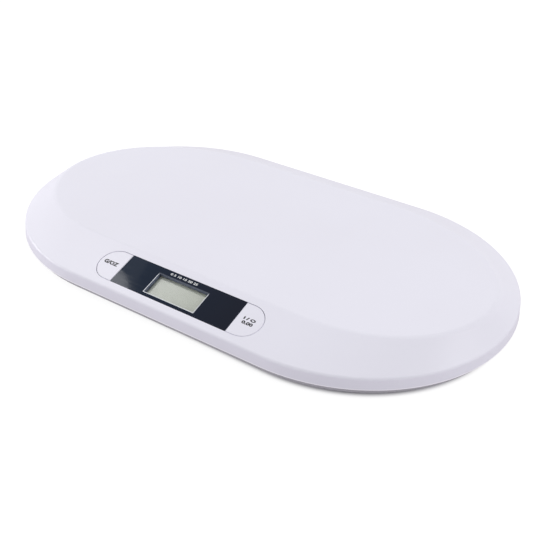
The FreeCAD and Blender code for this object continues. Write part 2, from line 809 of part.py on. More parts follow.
def make_bezel():
    """Black bezel plate with a window and a short collar that stops the lens."""
    body = new_body("bezel_body")
    collar = body_sketch(body, "bezel_collar_outline", f"-{LENS_FRONT}")
    add_rectangle(collar, "outer", "0", "dims.view_shift", COLLAR_LENGTH, COLLAR_WIDTH)
    add_rectangle(collar, "view", "0", "dims.view_shift", "dims.view_length", "dims.view_width")
    pad(body, collar, "bezel_collar", "dims.collar_depth")
    plate = body_sketch(body, "bezel_outline", f"-{BEZEL_BACK}")
    add_rectangle(plate, "outer", "0", "0", "dims.bezel_length",
                  "2 * dims.panel_radius - 2 * dims.bezel_gap")
    add_rectangle(plate, "view", "0", "dims.view_shift", "dims.view_length", "dims.view_width")
    pad(body, plate, "bezel_plate", "dims.bezel_thickness")
    finish(body, "display_bezel", PANEL)


def make_display():
    lens = block("lens", "0", "dims.view_shift", f"-{LENS_FRONT} - dims.lens_thickness",
                 COLLAR_LENGTH, COLLAR_WIDTH, "dims.lens_thickness")
    finish(group("lens_set", [lens]), "display_lens", PANEL)
    glass = block("glass", "0", "dims.view_shift", f"-{LCD_BACK}", "dims.lcd_length",
                  "dims.lcd_width", "dims.lcd_thickness")
    finish(group("glass_set", [glass]), "lcd_glass", PANEL)
    strip_height = f"dims.board_depth - {LCD_BACK}"
    strips = [
        block(f"strip_{side + 1}", "0",
              f"dims.view_shift + {side} * (dims.lcd_width / 2 - dims.strip_inset)",
              "-dims.board_depth", "dims.lcd_length - 2 * dims.strip_inset",
              "dims.strip_width", strip_height)
        for side in (-1, 1)
    ]
    finish(group("strips", strips), "lcd_connector_strips", PANEL)


def make_lcd_frame():
    """Frame that holds the glass against the lens and carries its short ends on two ledges."""
    body = new_body("lcd_frame_body")
    inner_length = "dims.lcd_length + 2 * dims.lcd_frame_gap"
    inner_width = "dims.lcd_width + 2 * dims.lcd_frame_gap"
    outline = body_sketch(body, "lcd_frame_outline", "-dims.board_depth")
    add_rectangle(outline, "outer", "0", "dims.view_shift",
                  f"{inner_length} + 2 * dims.lcd_frame_wall", f"{inner_width} + 2 * dims.lcd_frame_wall")
    add_rectangle(outline, "inner", "0", "dims.view_shift",
                  "dims.lcd_length - 4 * dims.stack_gap - dims.strip_width", inner_width)
    pad(body, outline, "lcd_frame_ring", "dims.board_depth - dims.pan_depth")
    seat = body_sketch(body, "lcd_seat_outline", "-dims.pan_depth")
    add_rectangle(seat, "seat", "0", "dims.view_shift", inner_length, inner_width)
    pocket(body, seat, "lcd_seat", f"{LCD_BACK} - dims.pan_depth")
    finish(body, "lcd_frame", PANEL)


# ------------------------------------------------------------ circuit board


def make_board():
    body = new_body("board_body")
    outline = body_sketch(body, "board_outline", f"-{BOARD_BACK}")
    add_rectangle(outline, "board", "0", "0", f"2 * ({BUTTON_U} + dims.board_end_margin)",
                  "dims.board_width")
    for number, (u, v) in enumerate(board_screw_spots()):
        add_circle(outline, f"hole_{number}", u, v, "dims.board_screw_shank + dims.screw_clearance")
    pad(body, outline, "board_plate", "dims.board_thickness")
    finish(body, "main_board", PANEL)


def make_board_items():
    """What is soldered under the board: the controller, its crystal, capacitors and sockets."""
    under = f"-{BOARD_BACK}"
    items = [block("controller", "0", "dims.chip_v", f"{under} - dims.chip_height",
                   "dims.chip_side", "dims.chip_side", "dims.chip_height"),
             block("crystal", "dims.crystal_u", "dims.chip_v", f"{under} - dims.crystal_height",
                   "dims.crystal_width", "dims.crystal_length", "dims.crystal_height")]
    for side in (-1, 1):
        items.append(disc(f"capacitor_{side + 1}", f"{side} * dims.capacitor_u", "dims.chip_v",
                          f"{under} - dims.capacitor_height", "dims.capacitor_diameter",
                          "dims.capacitor_height"))
    finish(group("board_item_set", items), "board_components", PANEL)
    sockets = [
        block(f"socket_{side + 1}", f"{side} * dims.socket_u", "dims.socket_v",
              f"{under} - dims.socket_height", "dims.socket_length", "dims.socket_width",
              "dims.socket_height")
        for side in (-1, 0, 1)
    ]
    finish(group("sockets", sockets), "wire_sockets", PANEL)


def screw(name, x, y, seat, head, head_height, shank, length, upward):
    """A pan head and its shank. The head lies behind the seat and the shank runs ahead of it."""
    if upward:
        head_foot, shank_foot = f"{seat} - {head_height}", seat
    else:
        head_foot, shank_foot = seat, f"{seat} - {length}"
    return fuse(name, [disc(name + "_head", x, y, head_foot, head, head_height),
                       disc(name + "_shank", x, y, shank_foot, shank, length)])


def make_screws():
    board = [
        screw(f"board_screw_{number}", u, v, f"-{BOARD_BACK}", "dims.board_screw_head",
              "dims.board_screw_head_height", "dims.board_screw_shank", "dims.board_screw_length", True)
        for number, (u, v) in enumerate(board_screw_spots())
    ]
    finish(group("board_screw_set", board), "board_screws", PANEL)
    case = [
        screw(f"case_screw_{number}", x, y, "dims.ground_gap + dims.case_screw_seat",
              "dims.case_screw_head", "dims.case_screw_head_height", "dims.case_screw_shank",
              "dims.case_screw_length", True)
        for number, (x, y) in enumerate(case_screw_spots())
    ]
    finish(group("case_screw_set", case), "case_screws")
    bracket = [
        screw(f"bracket_screw_{number}_{side + 1}", x, f"{y} + {side} * dims.bracket_screw_y",
              BRACKET_TOP, "dims.bracket_screw_head", "dims.bracket_screw_head_height",
              "dims.bracket_screw_shank", "dims.bracket_screw_length", False)
        for number, (x, y) in enumerate(foot_spots())
        for side in (-1, 1)
    ]
    finish(group("bracket_screw_set", bracket), "bracket_screws")


# ------------------------------------------------------------ buttons


def make_button(label, side):
    """Hollow key with a round outer end, a retaining flange and a post over its switch."""
    body = new_body(label + "_body")
    rest = "(dims.pan_depth + dims.flange_rest_gap)"
    flange = body_sketch(body, label + "_flange_outline", f"-{rest} - dims.flange_height")
    add_key_outline(flange, "dims.bezel_length / 2 + dims.bezel_gap - dims.flange_overlap", PANEL_RUN,
                    "dims.panel_radius + dims.flange_overlap")
    pad(body, flange, label + "_flange", "dims.flange_height")
    cap = body_sketch(body, label + "_cap_outline", f"-{rest}")
    add_key_outline(cap, "dims.bezel_length / 2 + dims.button_gap", PANEL_RUN,
                    "dims.panel_radius - dims.button_gap")
    pad(body, cap, label + "_cap", rest)
    hollow = body_sketch(body, label + "_hollow_outline", "-dims.button_top")
    add_key_outline(hollow, "dims.bezel_length / 2 + dims.button_gap + dims.button_wall", PANEL_RUN,
                    "dims.panel_radius - dims.button_gap - dims.button_wall")
    pocket(body, hollow, label + "_hollow", f"{rest} + dims.flange_height - dims.button_top")
    post_foot = "(dims.board_depth - dims.switch_height - dims.plunger_rise)"
    post = body_sketch(body, label + "_post_outline", f"-{post_foot}")
    add_circle(post, "post", BUTTON_U, "0", "dims.post_diameter")
    last = pad(body, post, label + "_post", f"{post_foot} - dims.button_top / 2")
    doc.recompute()
    edges = [f"Edge{number}" for number in edges_at(last.Shape, 0)]
    rounding = body.newObject("PartDesign::Fillet", label + "_rounding")
    rounding.Base = (last, edges)
    rounding.setExpression("Radius", "dims.button_edge_radius")
    body.Tip = rounding
    turn = FreeCAD.Placement(vec(0, 0, 0), FreeCAD.Rotation(vec(0, 0, 1), 0 if side > 0 else 180))
    finish(body, label, PANEL.multiply(turn))


def make_switch(label, side):
    """Tactile switch: a square case on the board and the plunger that its button pushes."""
    u = f"{side} * {BUTTON_U}"
    case = block(label + "_case", u, "0", "-dims.board_depth",
                 "dims.switch_side", "dims.switch_side", "dims.switch_height")
    depth = "(dims.plunger_depth + dims.plunger_travel + dims.plunger_clearance)"
    top = "(dims.board_depth - dims.switch_height)"
    well = disc(label + "_well", u, "0", f"-{top} - {depth}",
                "dims.plunger_diameter + 2 * dims.plunger_clearance", depth)
    finish(cut(label + "_cut", case, well), label, PANEL)
    plunger = disc(label + "_stem", u, "0", f"-{top} - dims.plunger_depth",
                   "dims.plunger_diameter", "dims.plunger_rise + dims.plunger_depth")
    finish(group(label + "_stem_set", [plunger]), label + "_plunger", PANEL)


# ------------------------------------------------------------ batteries


def make_cells():
    """Four cells side by side, each turned end for end against its neighbour."""
    nub_gap = "(dims.contact_thickness + dims.contact_gap)"
    for number in range(4):
        name = f"battery_{number + 1}"
        barrel = disc(name + "_barrel", "0", "0", "0", "dims.cell_diameter", "dims.cell_length")
        nub = disc(name + "_nub", "0", "0", "dims.cell_length", "dims.cell_nub_diameter", "dims.cell_nub")
        cell = fuse(name + "_cell", [barrel, nub])
        forward = number % 2 == 0
        turn = FreeCAD.Rotation(vec(1, 0, 0), -90 if forward else 90)
        cell.Placement = FreeCAD.Placement(vec(0, 0, 0), turn)
        total = "(dims.cell_length + dims.cell_nub)"
        start = f"{BAY_BACK} - {nub_gap} - {total}" if forward else f"{BAY_FRONT} + {nub_gap} + {total}"
        cell.setExpression("Placement.Base.x", f"({number} - 1.5) * dims.cell_pitch")
        cell.setExpression("Placement.Base.y", start)
        cell.setExpression("Placement.Base.z", CELL_AXIS)
        finish(cell, name)


def make_contacts():
    """Flat plates that the raised end of each cell touches."""
    plates = []
    for number in range(4):
        y = (f"{BAY_BACK} - dims.contact_thickness / 2" if number % 2 == 0
             else f"{BAY_FRONT} + dims.contact_thickness / 2")
        plates.append(block(f"contact_{number}", f"({number} - 1.5) * dims.cell_pitch", y,
                            f"{CELL_AXIS} - dims.contact_height / 2", "dims.contact_width",
                            "dims.contact_thickness", "dims.contact_height"))
    finish(group("contact_set", plates), "contact_plates")


def leaf_line(name):
    """Outer line of a leaf contact: up the wall, round the bend and down the bow."""
    sketch = doc.addObject("Sketcher::SketchObject", name)
    up = math.pi / 3
    sketch.addGeometry([
        Part.LineSegment(vec(0, -4, 0), vec(0, 4, 0)),
        Part.ArcOfCircle(Part.Circle(vec(1, 4, 0), vec(0, 0, 1), 1), up, math.pi),
        Part.ArcOfCircle(Part.Circle(vec(-1, 0, 0), vec(0, 0, 1), 6), -up / 2, up),
    ], False)
    sketch.addConstraint(Sketcher.Constraint("Vertical", 0))
    sketch.addConstraint(Sketcher.Constraint("PointOnObject", 0, 1, -2))
    sketch.addConstraint(Sketcher.Constraint("Tangent", 0, 2, 1, 2))
    sketch.addConstraint(Sketcher.Constraint("Tangent", 1, 1, 2, 2))
    sketch.addConstraint(Sketcher.Constraint("PointOnObject", 2, 3, -1))
    reach = ("(dims.bay_length - dims.cell_length - dims.cell_nub"
             " - dims.contact_thickness - 2 * dims.contact_gap)")
    bind(sketch, "Radius", (1, 1), "dims.leaf_bend", "bend")
    bind(sketch, "Radius", (2, 6), "dims.leaf_bow", "bow")
    bind(sketch, "DistanceX", (-1, 1, 2, 3, -1), f"{reach} - dims.leaf_bow", "bow_centre")
    bind(sketch, "DistanceY", (-1, 1, 0, 1, -4), "-dims.leaf_foot", "foot")
    bind(sketch, "DistanceY", (-1, 1, 2, 1, -3), "-dims.leaf_tip", "tip")
    return sketch


def make_springs():
    """Leaf contacts, bent from strip, that press on the flat end of each cell."""
    leaves = []
    for number in range(4):
        strip = doc.addObject("Part::Offset2D", f"leaf_strip_{number}")
        strip.Source = leaf_line(f"leaf_line_{number}")
        strip.setExpression("Value", "dims.leaf_thickness")
        strip.Mode = "Skin"
        strip.Fill = True
        leaf = doc.addObject("Part::Extrusion", f"leaf_{number}")
        leaf.Base = strip
        leaf.DirMode = "Custom"
        leaf.Dir = vec(0, 0, 1)
        leaf.setExpression("LengthFwd", "dims.leaf_width / 2")
        leaf.setExpression("LengthRev", "dims.leaf_width / 2")
        leaf.Solid = True
        forward = number % 2 == 0
        ahead, across = (vec(0, 1, 0), vec(1, 0, 0)) if forward else (vec(0, -1, 0), vec(-1, 0, 0))
        leaf.Placement.Rotation = FreeCAD.Rotation(ahead, vec(0, 0, 1), across, "XYZ")
        leaf.setExpression("Placement.Base.x", f"({number} - 1.5) * dims.cell_pitch")
        leaf.setExpression("Placement.Base.y", BAY_FRONT if forward else BAY_BACK)
        leaf.setExpression("Placement.Base.z", CELL_AXIS)
        leaves.append(leaf)
    finish(group("leaf_set", leaves), "contact_springs")


def make_door():
    """Battery door: a plate with two hooked tabs at its hinge edge and a latch tongue opposite."""
    body = new_body("door_body")
    half = "((dims.bay_length - dims.bay_ledge) / 2 - dims.door_gap)"
    width = f"2 * ({BAY_HALF} - dims.door_gap)"
    plate = body_sketch(body, "door_outline", "0")
    add_rectangle(plate, "plate", "0", "0", width, f"2 * {half}")
    pad(body, plate, "door_plate", "dims.door_thickness")
    ribs = body_sketch(body, "door_rib_outline", "dims.door_thickness")
    for side in (-1, 1):
        add_rectangle(ribs, f"rib_{side + 1}", "0", f"{side} * dims.door_rib_spacing / 2",
                      f"{width} - 2 * dims.door_thickness", "dims.door_rib_width")
    pad(body, ribs, "door_ribs", "dims.door_rib_height")
    tab_top = "(dims.base_floor + dims.tab_lift + dims.tab_thickness)"
    root = body_sketch(body, "tab_root_outline", "dims.door_thickness")
    for side in (-1, 1):
        add_rectangle(root, f"root_{side + 1}", f"{side} * dims.cell_pitch",
                      f"{half} - dims.tab_reach / 2", "dims.tab_width", "dims.tab_reach")
    pad(body, root, "tab_roots", f"{tab_top} - dims.door_thickness")
    tab = body_sketch(body, "tab_outline", "dims.base_floor + dims.tab_lift")
    for side in (-1, 1):
        add_rectangle(tab, f"tab_{side + 1}", f"{side} * dims.cell_pitch",
                      f"{half} + dims.door_gap / 2", "dims.tab_width",
                      "dims.door_gap + 2 * dims.tab_reach")
    pad(body, tab, "tabs", "dims.tab_thickness")
    latch = body_sketch(body, "latch_outline", "dims.door_thickness")
    add_rectangle(latch, "latch", "0", f"dims.latch_thickness / 2 - {half}",
                  "dims.latch_width", "dims.latch_thickness")
    pad(body, latch, "latch_tongue", "dims.latch_height")
    body.setExpression("Placement.Base.y", "dims.bay_centre_y - dims.bay_ledge / 2")
    body.setExpression("Placement.Base.z", "dims.ground_gap")
    finish(body, "battery_door")


# ------------------------------------------------------------ load cells and feet


def place_at_corner(body, corner, level):
    across, along = CORNERS[corner]
    body.setExpression("Placement.Base.x", f"{across} * {FOOT_X}")
    body.setExpression("Placement.Base.y", f"{along} * {FOOT_Y}")
    body.setExpression("Placement.Base.z", level)


def make_load_cell(corner):
    """Stamped steel sensor: a square frame with a tongue that the foot pushes up."""
    body = new_body(f"load_cell_{corner}_body")
    window = "(dims.load_cell_side - 2 * dims.load_cell_band)"
    frame = body_sketch(body, f"cell_frame_{corner}", "0")
    add_rectangle(frame, "outer", "0", "0", "dims.load_cell_side", "dims.load_cell_side")
    add_rectangle(frame, "window", "0", "0", window, window)
    pad(body, frame, f"cell_band_{corner}", "dims.load_cell_thickness")
    tongue = body_sketch(body, f"cell_tongue_{corner}", "0")
    add_rectangle(tongue, "tongue", "0", "(dims.tongue_slot + dims.load_cell_band / 2) / 2",
                  "dims.tongue_width", f"{window} - dims.tongue_slot + dims.load_cell_band / 2")
    pad(body, tongue, f"cell_tongue_plate_{corner}", "dims.load_cell_thickness")
    place_at_corner(body, corner, CELL_LEVEL)
    finish(body, f"load_cell_{corner}")


def make_bracket(corner):
    """Clamp over the load cell, hollowed underneath so that the tongue can bend."""
    body = new_body(f"bracket_{corner}_body")
    outline = body_sketch(body, f"bracket_outline_{corner}", "0")
    add_rectangle(outline, "plate", "0", "0", "dims.bracket_length", "dims.bracket_width")
    for side in (-1, 1):
        add_circle(outline, f"hole_{side + 1}", "0", f"{side} * dims.bracket_screw_y",
                   "dims.bracket_screw_shank + dims.screw_clearance")
    pad(body, outline, f"bracket_plate_{corner}", "dims.bracket_thickness")
    relief = body_sketch(body, f"bracket_relief_outline_{corner}", "dims.bracket_relief")
    add_rectangle(relief, "relief", "0", "0", "dims.bracket_relief_side", "dims.bracket_relief_side")
    pocket(body, relief, f"bracket_relief_{corner}", "dims.bracket_relief")
    place_at_corner(body, corner, BRACKET_LEVEL)
    finish(body, f"load_cell_bracket_{corner}")


def make_foot(corner):
    """Foot that passes through the base floor, with its flange inside and its boss on the tongue."""
    body = new_body(f"foot_{corner}_body")
    drop = f"({FOOT_FLANGE} - (dims.pad_thickness - dims.pad_recess))"
    outer = body_sketch(body, f"foot_outline_{corner}", f"-{drop}")
    add_circle(outer, "foot", "0", "0", "dims.foot_diameter")
    pad(body, outer, f"foot_cup_{corner}", drop)
    flange = body_sketch(body, f"foot_flange_outline_{corner}", "0")
    add_circle(flange, "flange", "0", "0", "dims.foot_flange")
    pad(body, flange, f"foot_flange_{corner}", "dims.foot_flange_height")
    boss = body_sketch(body, f"foot_boss_outline_{corner}", "dims.foot_flange_height")
    add_circle(boss, "boss", "0", "0", "dims.foot_boss")
    pad(body, boss, f"foot_boss_{corner}", "dims.foot_boss_height")
    recess = body_sketch(body, f"foot_recess_outline_{corner}", f"dims.pad_recess - {drop}")
    add_circle(recess, "recess", "0", "0", "dims.pad_diameter + dims.stack_gap")
    pocket(body, recess, f"foot_recess_{corner}", "dims.pad_recess")
    place_at_corner(body, corner, FOOT_FLANGE)
    finish(body, f"foot_{corner}")


def make_foot_pad(corner):
    across, along = CORNERS[corner]
    rubber = disc(f"pad_{corner}", f"{across} * {FOOT_X}", f"{along} * {FOOT_Y}", "0",
                  "dims.pad_diameter", "dims.pad_thickness")
    finish(group(f"pad_set_{corner}", [rubber]), f"foot_pad_{corner}")


def make_gauges():
    """Sealed strain gauges, one on the tongue of each load cell."""
    seals = [
        block(f"gauge_{number}", x, f"{y} + dims.tongue_slot / 2", BRACKET_LEVEL,
              "dims.gauge_width", "dims.gauge_length", "dims.gauge_height")
        for number, (x, y) in enumerate(foot_spots())
    ]
    finish(group("gauge_set", seals), "strain_gauges")


# ------------------------------------------------------------ inner wiring


def round_path(points):
    """Straight runs joined by arcs, each arc as large as its two runs allow."""
    edges = []
    last = points[0]
    for before, corner, after in zip(points, points[1:], points[2:]):
        towards = (before - corner).normalize()
        away = (after - corner).normalize()
        trim = 0.45 * min((before - corner).Length, (after - corner).Length)
        first, second = corner + towards * trim, corner + away * trim
        half_turn = (math.pi - towards.getAngle(away)) / 2
        radius = trim / math.tan(half_turn)
        middle = corner + (towards + away).normalize() * (radius / math.cos(half_turn) - radius)
        edges.append(Part.LineSegment(last, first).toShape())
        edges.append(Part.Arc(first, middle, second).toShape())
        last = second
    edges.append(Part.LineSegment(last, points[-1]).toShape())
    return Part.Wire(edges)


def wire_tube(points, diameter):
    path = round_path(points)
    start = points[0]
    section = Part.Circle(start, points[1] - start, diameter / 2).toShape()
    return path.makePipeShell([Part.Wire([section])], True, False)


def lay_wire(start, lead, u, shares, bow, diameter):
    """A wire that leaves its start along the lead, rests on the base ribs and ends in a socket.

    The resting points lie at shares of the way, pushed sideways by a share of the whole length.
    """
    mouth = mm("socket_v") + mm("socket_width") / 2
    depth = mm("board_depth") + mm("board_thickness") + mm("socket_height") / 2
    end = PANEL.multVec(vec(u, mouth, -depth))
    before = PANEL.multVec(vec(u, mouth + mm("socket_lead"), -depth))
    rest = (mm("ground_gap") + mm("base_floor") + mm("base_rib_height")
            + diameter / 2 + mm("wire_rest_gap"))
    first = start + lead
    way = before - first
    sideways = vec(-way.y, way.x, 0) * bow
    points = [start, first]
    for share in shares:
        spot = first + way * share + sideways * math.sin(math.pi * share)
        points.append(vec(spot.x, spot.y, rest))
    return wire_tube(points + [before, end], diameter)


def make_sensor_wires():
    """Leads of the load cells, laid over the ribs of the base to the board's side sockets."""
    level = (mm("ground_gap") + mm("base_floor") + mm("foot_flange_lift") + mm("foot_flange_height")
             + mm("foot_boss_height") + mm("load_cell_thickness") / 2)
    edge = mm("case_length") / 2 - mm("foot_end_inset") - mm("load_cell_side") / 2
    depth = mm("case_width") / 2 - mm("foot_side_inset")
    for corner, (across, along) in CORNERS.items():
        front = along < 0
        shares = (0.25, 0.5, 0.75) if front else (0.16, 0.33, 0.5, 0.67, 0.84)
        bow = -across * (0.04 if front else -0.08)
        start = vec(across * edge, along * depth, level)
        lead = vec(-across * mm("wire_lead"), 0, 0)
        u = across * (mm("socket_u") - along * mm("wire_diameter"))
        wire = doc.addObject("Part::Feature", f"sensor_wire_{corner}")
        wire.Shape = lay_wire(start, lead, u, shares, bow, mm("wire_diameter"))
        finish(wire, f"sensor_wire_{corner}")


def make_battery_leads():
    """The two leads from the front wall of the battery bay to the middle socket."""
    wall = mm("bay_centre_y") - mm("bay_length") / 2 - mm("bay_wall")
    level = mm("cell_bottom") + mm("cell_diameter") / 2
    tubes = []
    for side in (-1, 1):
        start = vec(side * mm("cell_pitch") / 2, wall, level)
        lead = vec(0, -mm("wire_lead"), 0)
        tubes.append(lay_wire(start, lead, side * mm("lead_diameter"), (0.3, 0.65), side * 0.03,
                              mm("lead_diameter")))
    leads = doc.addObject("Part::Feature", "battery_lead_set")
    leads.Shape = Part.makeCompound(tubes)
    finish(leads, "battery_leads")


# ------------------------------------------------------------ assembly

make_cover()
make_base()
make_bezel()
make_display()
make_lcd_frame()
make_board()
make_board_items()
make_screws()
make_button("unit_button", -1)
make_button("power_button", 1)
make_switch("unit_switch", -1)
make_switch("power_switch", 1)
make_cells()
make_contacts()
make_springs()
make_door()
for corner in CORNERS:
    make_load_cell(corner)
    make_bracket(corner)
    make_foot(corner)
    make_foot_pad(corner)
make_gauges()
make_sensor_wires()
make_battery_leads()
doc.recompute()

for item in doc.Objects:
    if "Invalid" in item.State or "Error" in item.State:
        raise RuntimeError(f"{item.Label} failed to build: {item.State}")
for item in parts:
    if item.Shape.isNull() or not item.Shape.isValid():
        raise RuntimeError(f"{item.Label} has no valid shape")

os.makedirs("parts", exist_ok=True)
for item in parts:
    item.Shape.exportStep(f"parts/{item.Label}.step")
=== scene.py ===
import bpy
import json
import math
from mathutils import Matrix, Vector


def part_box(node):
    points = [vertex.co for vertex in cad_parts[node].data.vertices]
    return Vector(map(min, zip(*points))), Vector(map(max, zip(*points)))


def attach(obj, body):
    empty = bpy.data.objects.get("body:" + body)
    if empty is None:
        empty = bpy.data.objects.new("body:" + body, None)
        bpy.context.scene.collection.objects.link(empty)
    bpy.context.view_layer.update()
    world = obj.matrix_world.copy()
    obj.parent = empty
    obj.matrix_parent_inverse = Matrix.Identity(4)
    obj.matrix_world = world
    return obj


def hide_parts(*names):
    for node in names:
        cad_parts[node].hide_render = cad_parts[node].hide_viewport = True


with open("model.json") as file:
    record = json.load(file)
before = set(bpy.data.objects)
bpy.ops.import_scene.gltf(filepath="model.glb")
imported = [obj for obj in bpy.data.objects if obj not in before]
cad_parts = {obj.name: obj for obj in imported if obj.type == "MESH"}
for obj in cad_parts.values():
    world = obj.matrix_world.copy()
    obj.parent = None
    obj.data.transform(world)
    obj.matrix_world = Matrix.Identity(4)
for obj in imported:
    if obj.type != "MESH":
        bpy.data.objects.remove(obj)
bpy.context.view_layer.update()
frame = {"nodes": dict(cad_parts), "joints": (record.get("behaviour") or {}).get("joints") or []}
nodes = frame["nodes"]

# ---------------------------------------------------------------- camera
# It looks down on the display side from the front right, level with a person who
# stands over a table. The frame is turned a little, as a hand-held picture is.
AZIMUTH = math.radians(32.1)
ELEVATION = math.radians(32.81)
ROLL = math.radians(2.32)
DISTANCE = 0.8105
TARGET = Vector((0.04387, -0.04698, 0.023))
SENSOR_WIDTH = 36
FOCAL_LENGTH = 54.707
NEAREST = 0.02
FARTHEST = 30
back = Vector((math.sin(AZIMUTH) * math.cos(ELEVATION), -math.cos(AZIMUTH) * math.cos(ELEVATION),
               math.sin(ELEVATION)))
right = Vector((math.cos(AZIMUTH), math.sin(AZIMUTH), 0))
up = back.cross(right)
turned_right = right * math.cos(ROLL) + up * math.sin(ROLL)
turned_up = up * math.cos(ROLL) - right * math.sin(ROLL)
bpy.ops.object.camera_add()
camera = bpy.context.object
camera.name = "studio_camera"
axes = Matrix((turned_right, turned_up, back)).transposed()
camera.matrix_world = Matrix.Translation(TARGET + back * DISTANCE) @ axes.to_4x4()
camera.data.sensor_width = SENSOR_WIDTH
camera.data.lens = FOCAL_LENGTH
camera.data.clip_start = NEAREST
camera.data.clip_end = FARTHEST
bpy.context.scene.camera = camera
bpy.context.scene.view_settings.view_transform = "Standard"

# ---------------------------------------------------------------- studio light
# A white tent that is brightest behind the object, with four softboxes: two low ones
# beside the table and two high ones. The camera sees plain white behind the object.
DULL_SIDE = 0.528
BRIGHT_SIDE = 1.057
BRIGHT_WAY = Vector((-0.53, 0.85, 0))
world = bpy.data.worlds.new("studio")
bpy.context.scene.world = world
world.use_nodes = True
tree = world.node_tree
tree.nodes.clear()
output = tree.nodes.new("ShaderNodeOutputWorld")
shown = tree.nodes.new("ShaderNodeBackground")
shown.inputs["Color"].default_value = (1, 1, 1, 1)
shown.inputs["Strength"].default_value = 1
dome = tree.nodes.new("ShaderNodeBackground")
dome.inputs["Color"].default_value = (1, 1, 1, 1)
place = tree.nodes.new("ShaderNodeTexCoord")
towards = tree.nodes.new("ShaderNodeVectorMath")
towards.operation = "DOT_PRODUCT"
towards.inputs[1].default_value = BRIGHT_WAY.normalized()
spread = tree.nodes.new("ShaderNodeMapRange")
spread.inputs["From Min"].default_value = -1
spread.inputs["From Max"].default_value = 1
spread.inputs["To Min"].default_value = DULL_SIDE
spread.inputs["To Max"].default_value = BRIGHT_SIDE
rays = tree.nodes.new("ShaderNodeLightPath")
mix = tree.nodes.new("ShaderNodeMixShader")
tree.links.new(place.outputs["Generated"], towards.inputs[0])
tree.links.new(towards.outputs["Value"], spread.inputs["Value"])
tree.links.new(spread.outputs["Result"], dome.inputs["Strength"])
tree.links.new(rays.outputs["Is Camera Ray"], mix.inputs["Fac"])
tree.links.new(dome.outputs[0], mix.inputs[1])
tree.links.new(shown.outputs[0], mix.inputs[2])
tree.links.new(mix.outputs[0], output.inputs["Surface"])


def softbox(name, place, size, power, aim):
    """A flat lamp of this width and height in metres, turned towards a point."""
    data = bpy.data.lights.new(name, "AREA")
    data.shape = "RECTANGLE"
    data.size = size[0]
    data.size_y = size[1]
    data.energy = power
    item = bpy.data.objects.new(name, data)
    bpy.context.scene.collection.objects.link(item)
    item.location = place
    item.rotation_euler = (Vector(aim) - Vector(place)).to_track_quat("-Z", "Y").to_euler()
    return item


LAMP_AIM = (0, 0, 0.02)
softbox("low_left_softbox", place=(-1.5, -0.75, 0.30), size=(1.0, 0.5), power=7.7, aim=LAMP_AIM)
softbox("low_right_softbox", place=(1.6, 0.15, 0.30), size=(1.0, 0.5), power=1.2, aim=LAMP_AIM)
softbox("high_left_softbox", place=(-1.5, -0.05, 1.25), size=(0.8, 1.0), power=2.0, aim=LAMP_AIM)
softbox("high_right_softbox", place=(1.5, 0.3, 1.3), size=(1.0, 1.0), power=6.3, aim=LAMP_AIM)

# A small round lamp, which the black window mirrors in its lower left corner.
GLARE_AT = (-0.782, 0.0435, 0.964)
GLARE_SPOT = (-0.066, -0.15, 0.025)
GLARE_SIZE = (0.11, 0.11)
GLARE_POWER = 0.28
glare = softbox("glare_lamp", place=GLARE_AT, size=GLARE_SIZE, power=GLARE_POWER, aim=GLARE_SPOT)
glare.data.shape = "DISK"

# ---------------------------------------------------------------- floor
# A wide white table top without an edge. Its glow fades in a shape like the case's, a bit smaller and slanted
# away from the lamps. This is a painted shadow, so that only a narrow dark shadow shows round the foot of the
# case. A look from below passes through the floor, and finds the case lit.
FLOOR_SIZE = 12
FLOOR_WHITE = (0.738, 0.710, 0.752)
FLOOR_ROUGHNESS = 0.9
FLOOR_SPECULAR = 0.1
GLOW_NEAR = 0.03
GLOW_FAR = 0.90
PAPER_NEAR = (0.62, 0.60, 0.67)
PAPER_FAR = (0.2, 0.2, 0.2)
FADE_FROM = -0.014
FADE_TO = -0.006
SHADOW_SHIFT = (-0.0027, 0.0002, 0)
SHADOW_SLANT = 0.0195
SHADOW_SHORT = 0.0024
PASSED_ONCE = 0.5
case_low, case_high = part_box("top_cover")
end_radius = (case_high[1] - case_low[1]) / 2
straight_run = (case_high[0] - case_low[0]) / 2 - end_radius
bpy.ops.object.select_all(action="DESELECT")
bpy.ops.mesh.primitive_plane_add(size=FLOOR_SIZE)
floor = bpy.context.object
floor.name = "floor"
paper = bpy.data.materials.new("floor_paper")
paper.use_nodes = True
tree = paper.node_tree
shader = tree.nodes["Principled BSDF"]
shader.inputs["Base Color"].default_value = (*FLOOR_WHITE, 1)
shader.inputs["Roughness"].default_value = FLOOR_ROUGHNESS
shader.inputs["Specular IOR Level"].default_value = FLOOR_SPECULAR
place = tree.nodes.new("ShaderNodeTexCoord")
moved = tree.nodes.new("ShaderNodeVectorMath")
moved.operation = "ADD"
moved.inputs[1].default_value = SHADOW_SHIFT
axis = tree.nodes.new("ShaderNodeSeparateXYZ")
side = tree.nodes.new("ShaderNodeMath")
side.operation = "ABSOLUTE"
past_run = tree.nodes.new("ShaderNodeMath")
past_run.operation = "SUBTRACT"
past_run.inputs[1].default_value = straight_run - SHADOW_SHORT
past_run.use_clamp = True
slanted = tree.nodes.new("ShaderNodeMath")
slanted.operation = "MULTIPLY_ADD"
slanted.inputs[1].default_value = SHADOW_SLANT
from_middle = tree.nodes.new("ShaderNodeCombineXYZ")
reach = tree.nodes.new("ShaderNodeVectorMath")
reach.operation = "LENGTH"
# Painted shadow: a mask in the case's outline that dims the floor's glow near the case.
painted_shadow_mask = tree.nodes.new("ShaderNodeMapRange")
painted_shadow_mask.interpolation_type = "SMOOTHSTEP"
painted_shadow_mask.inputs["From Min"].default_value = end_radius + FADE_FROM
painted_shadow_mask.inputs["From Max"].default_value = end_radius + FADE_TO
strength = tree.nodes.new("ShaderNodeMapRange")
strength.inputs["To Min"].default_value = GLOW_NEAR
strength.inputs["To Max"].default_value = GLOW_FAR
tones = tree.nodes.new("ShaderNodeValToRGB")
tones.color_ramp.elements[0].color = (*PAPER_NEAR, 1)
tones.color_ramp.elements[1].color = (*PAPER_FAR, 1)
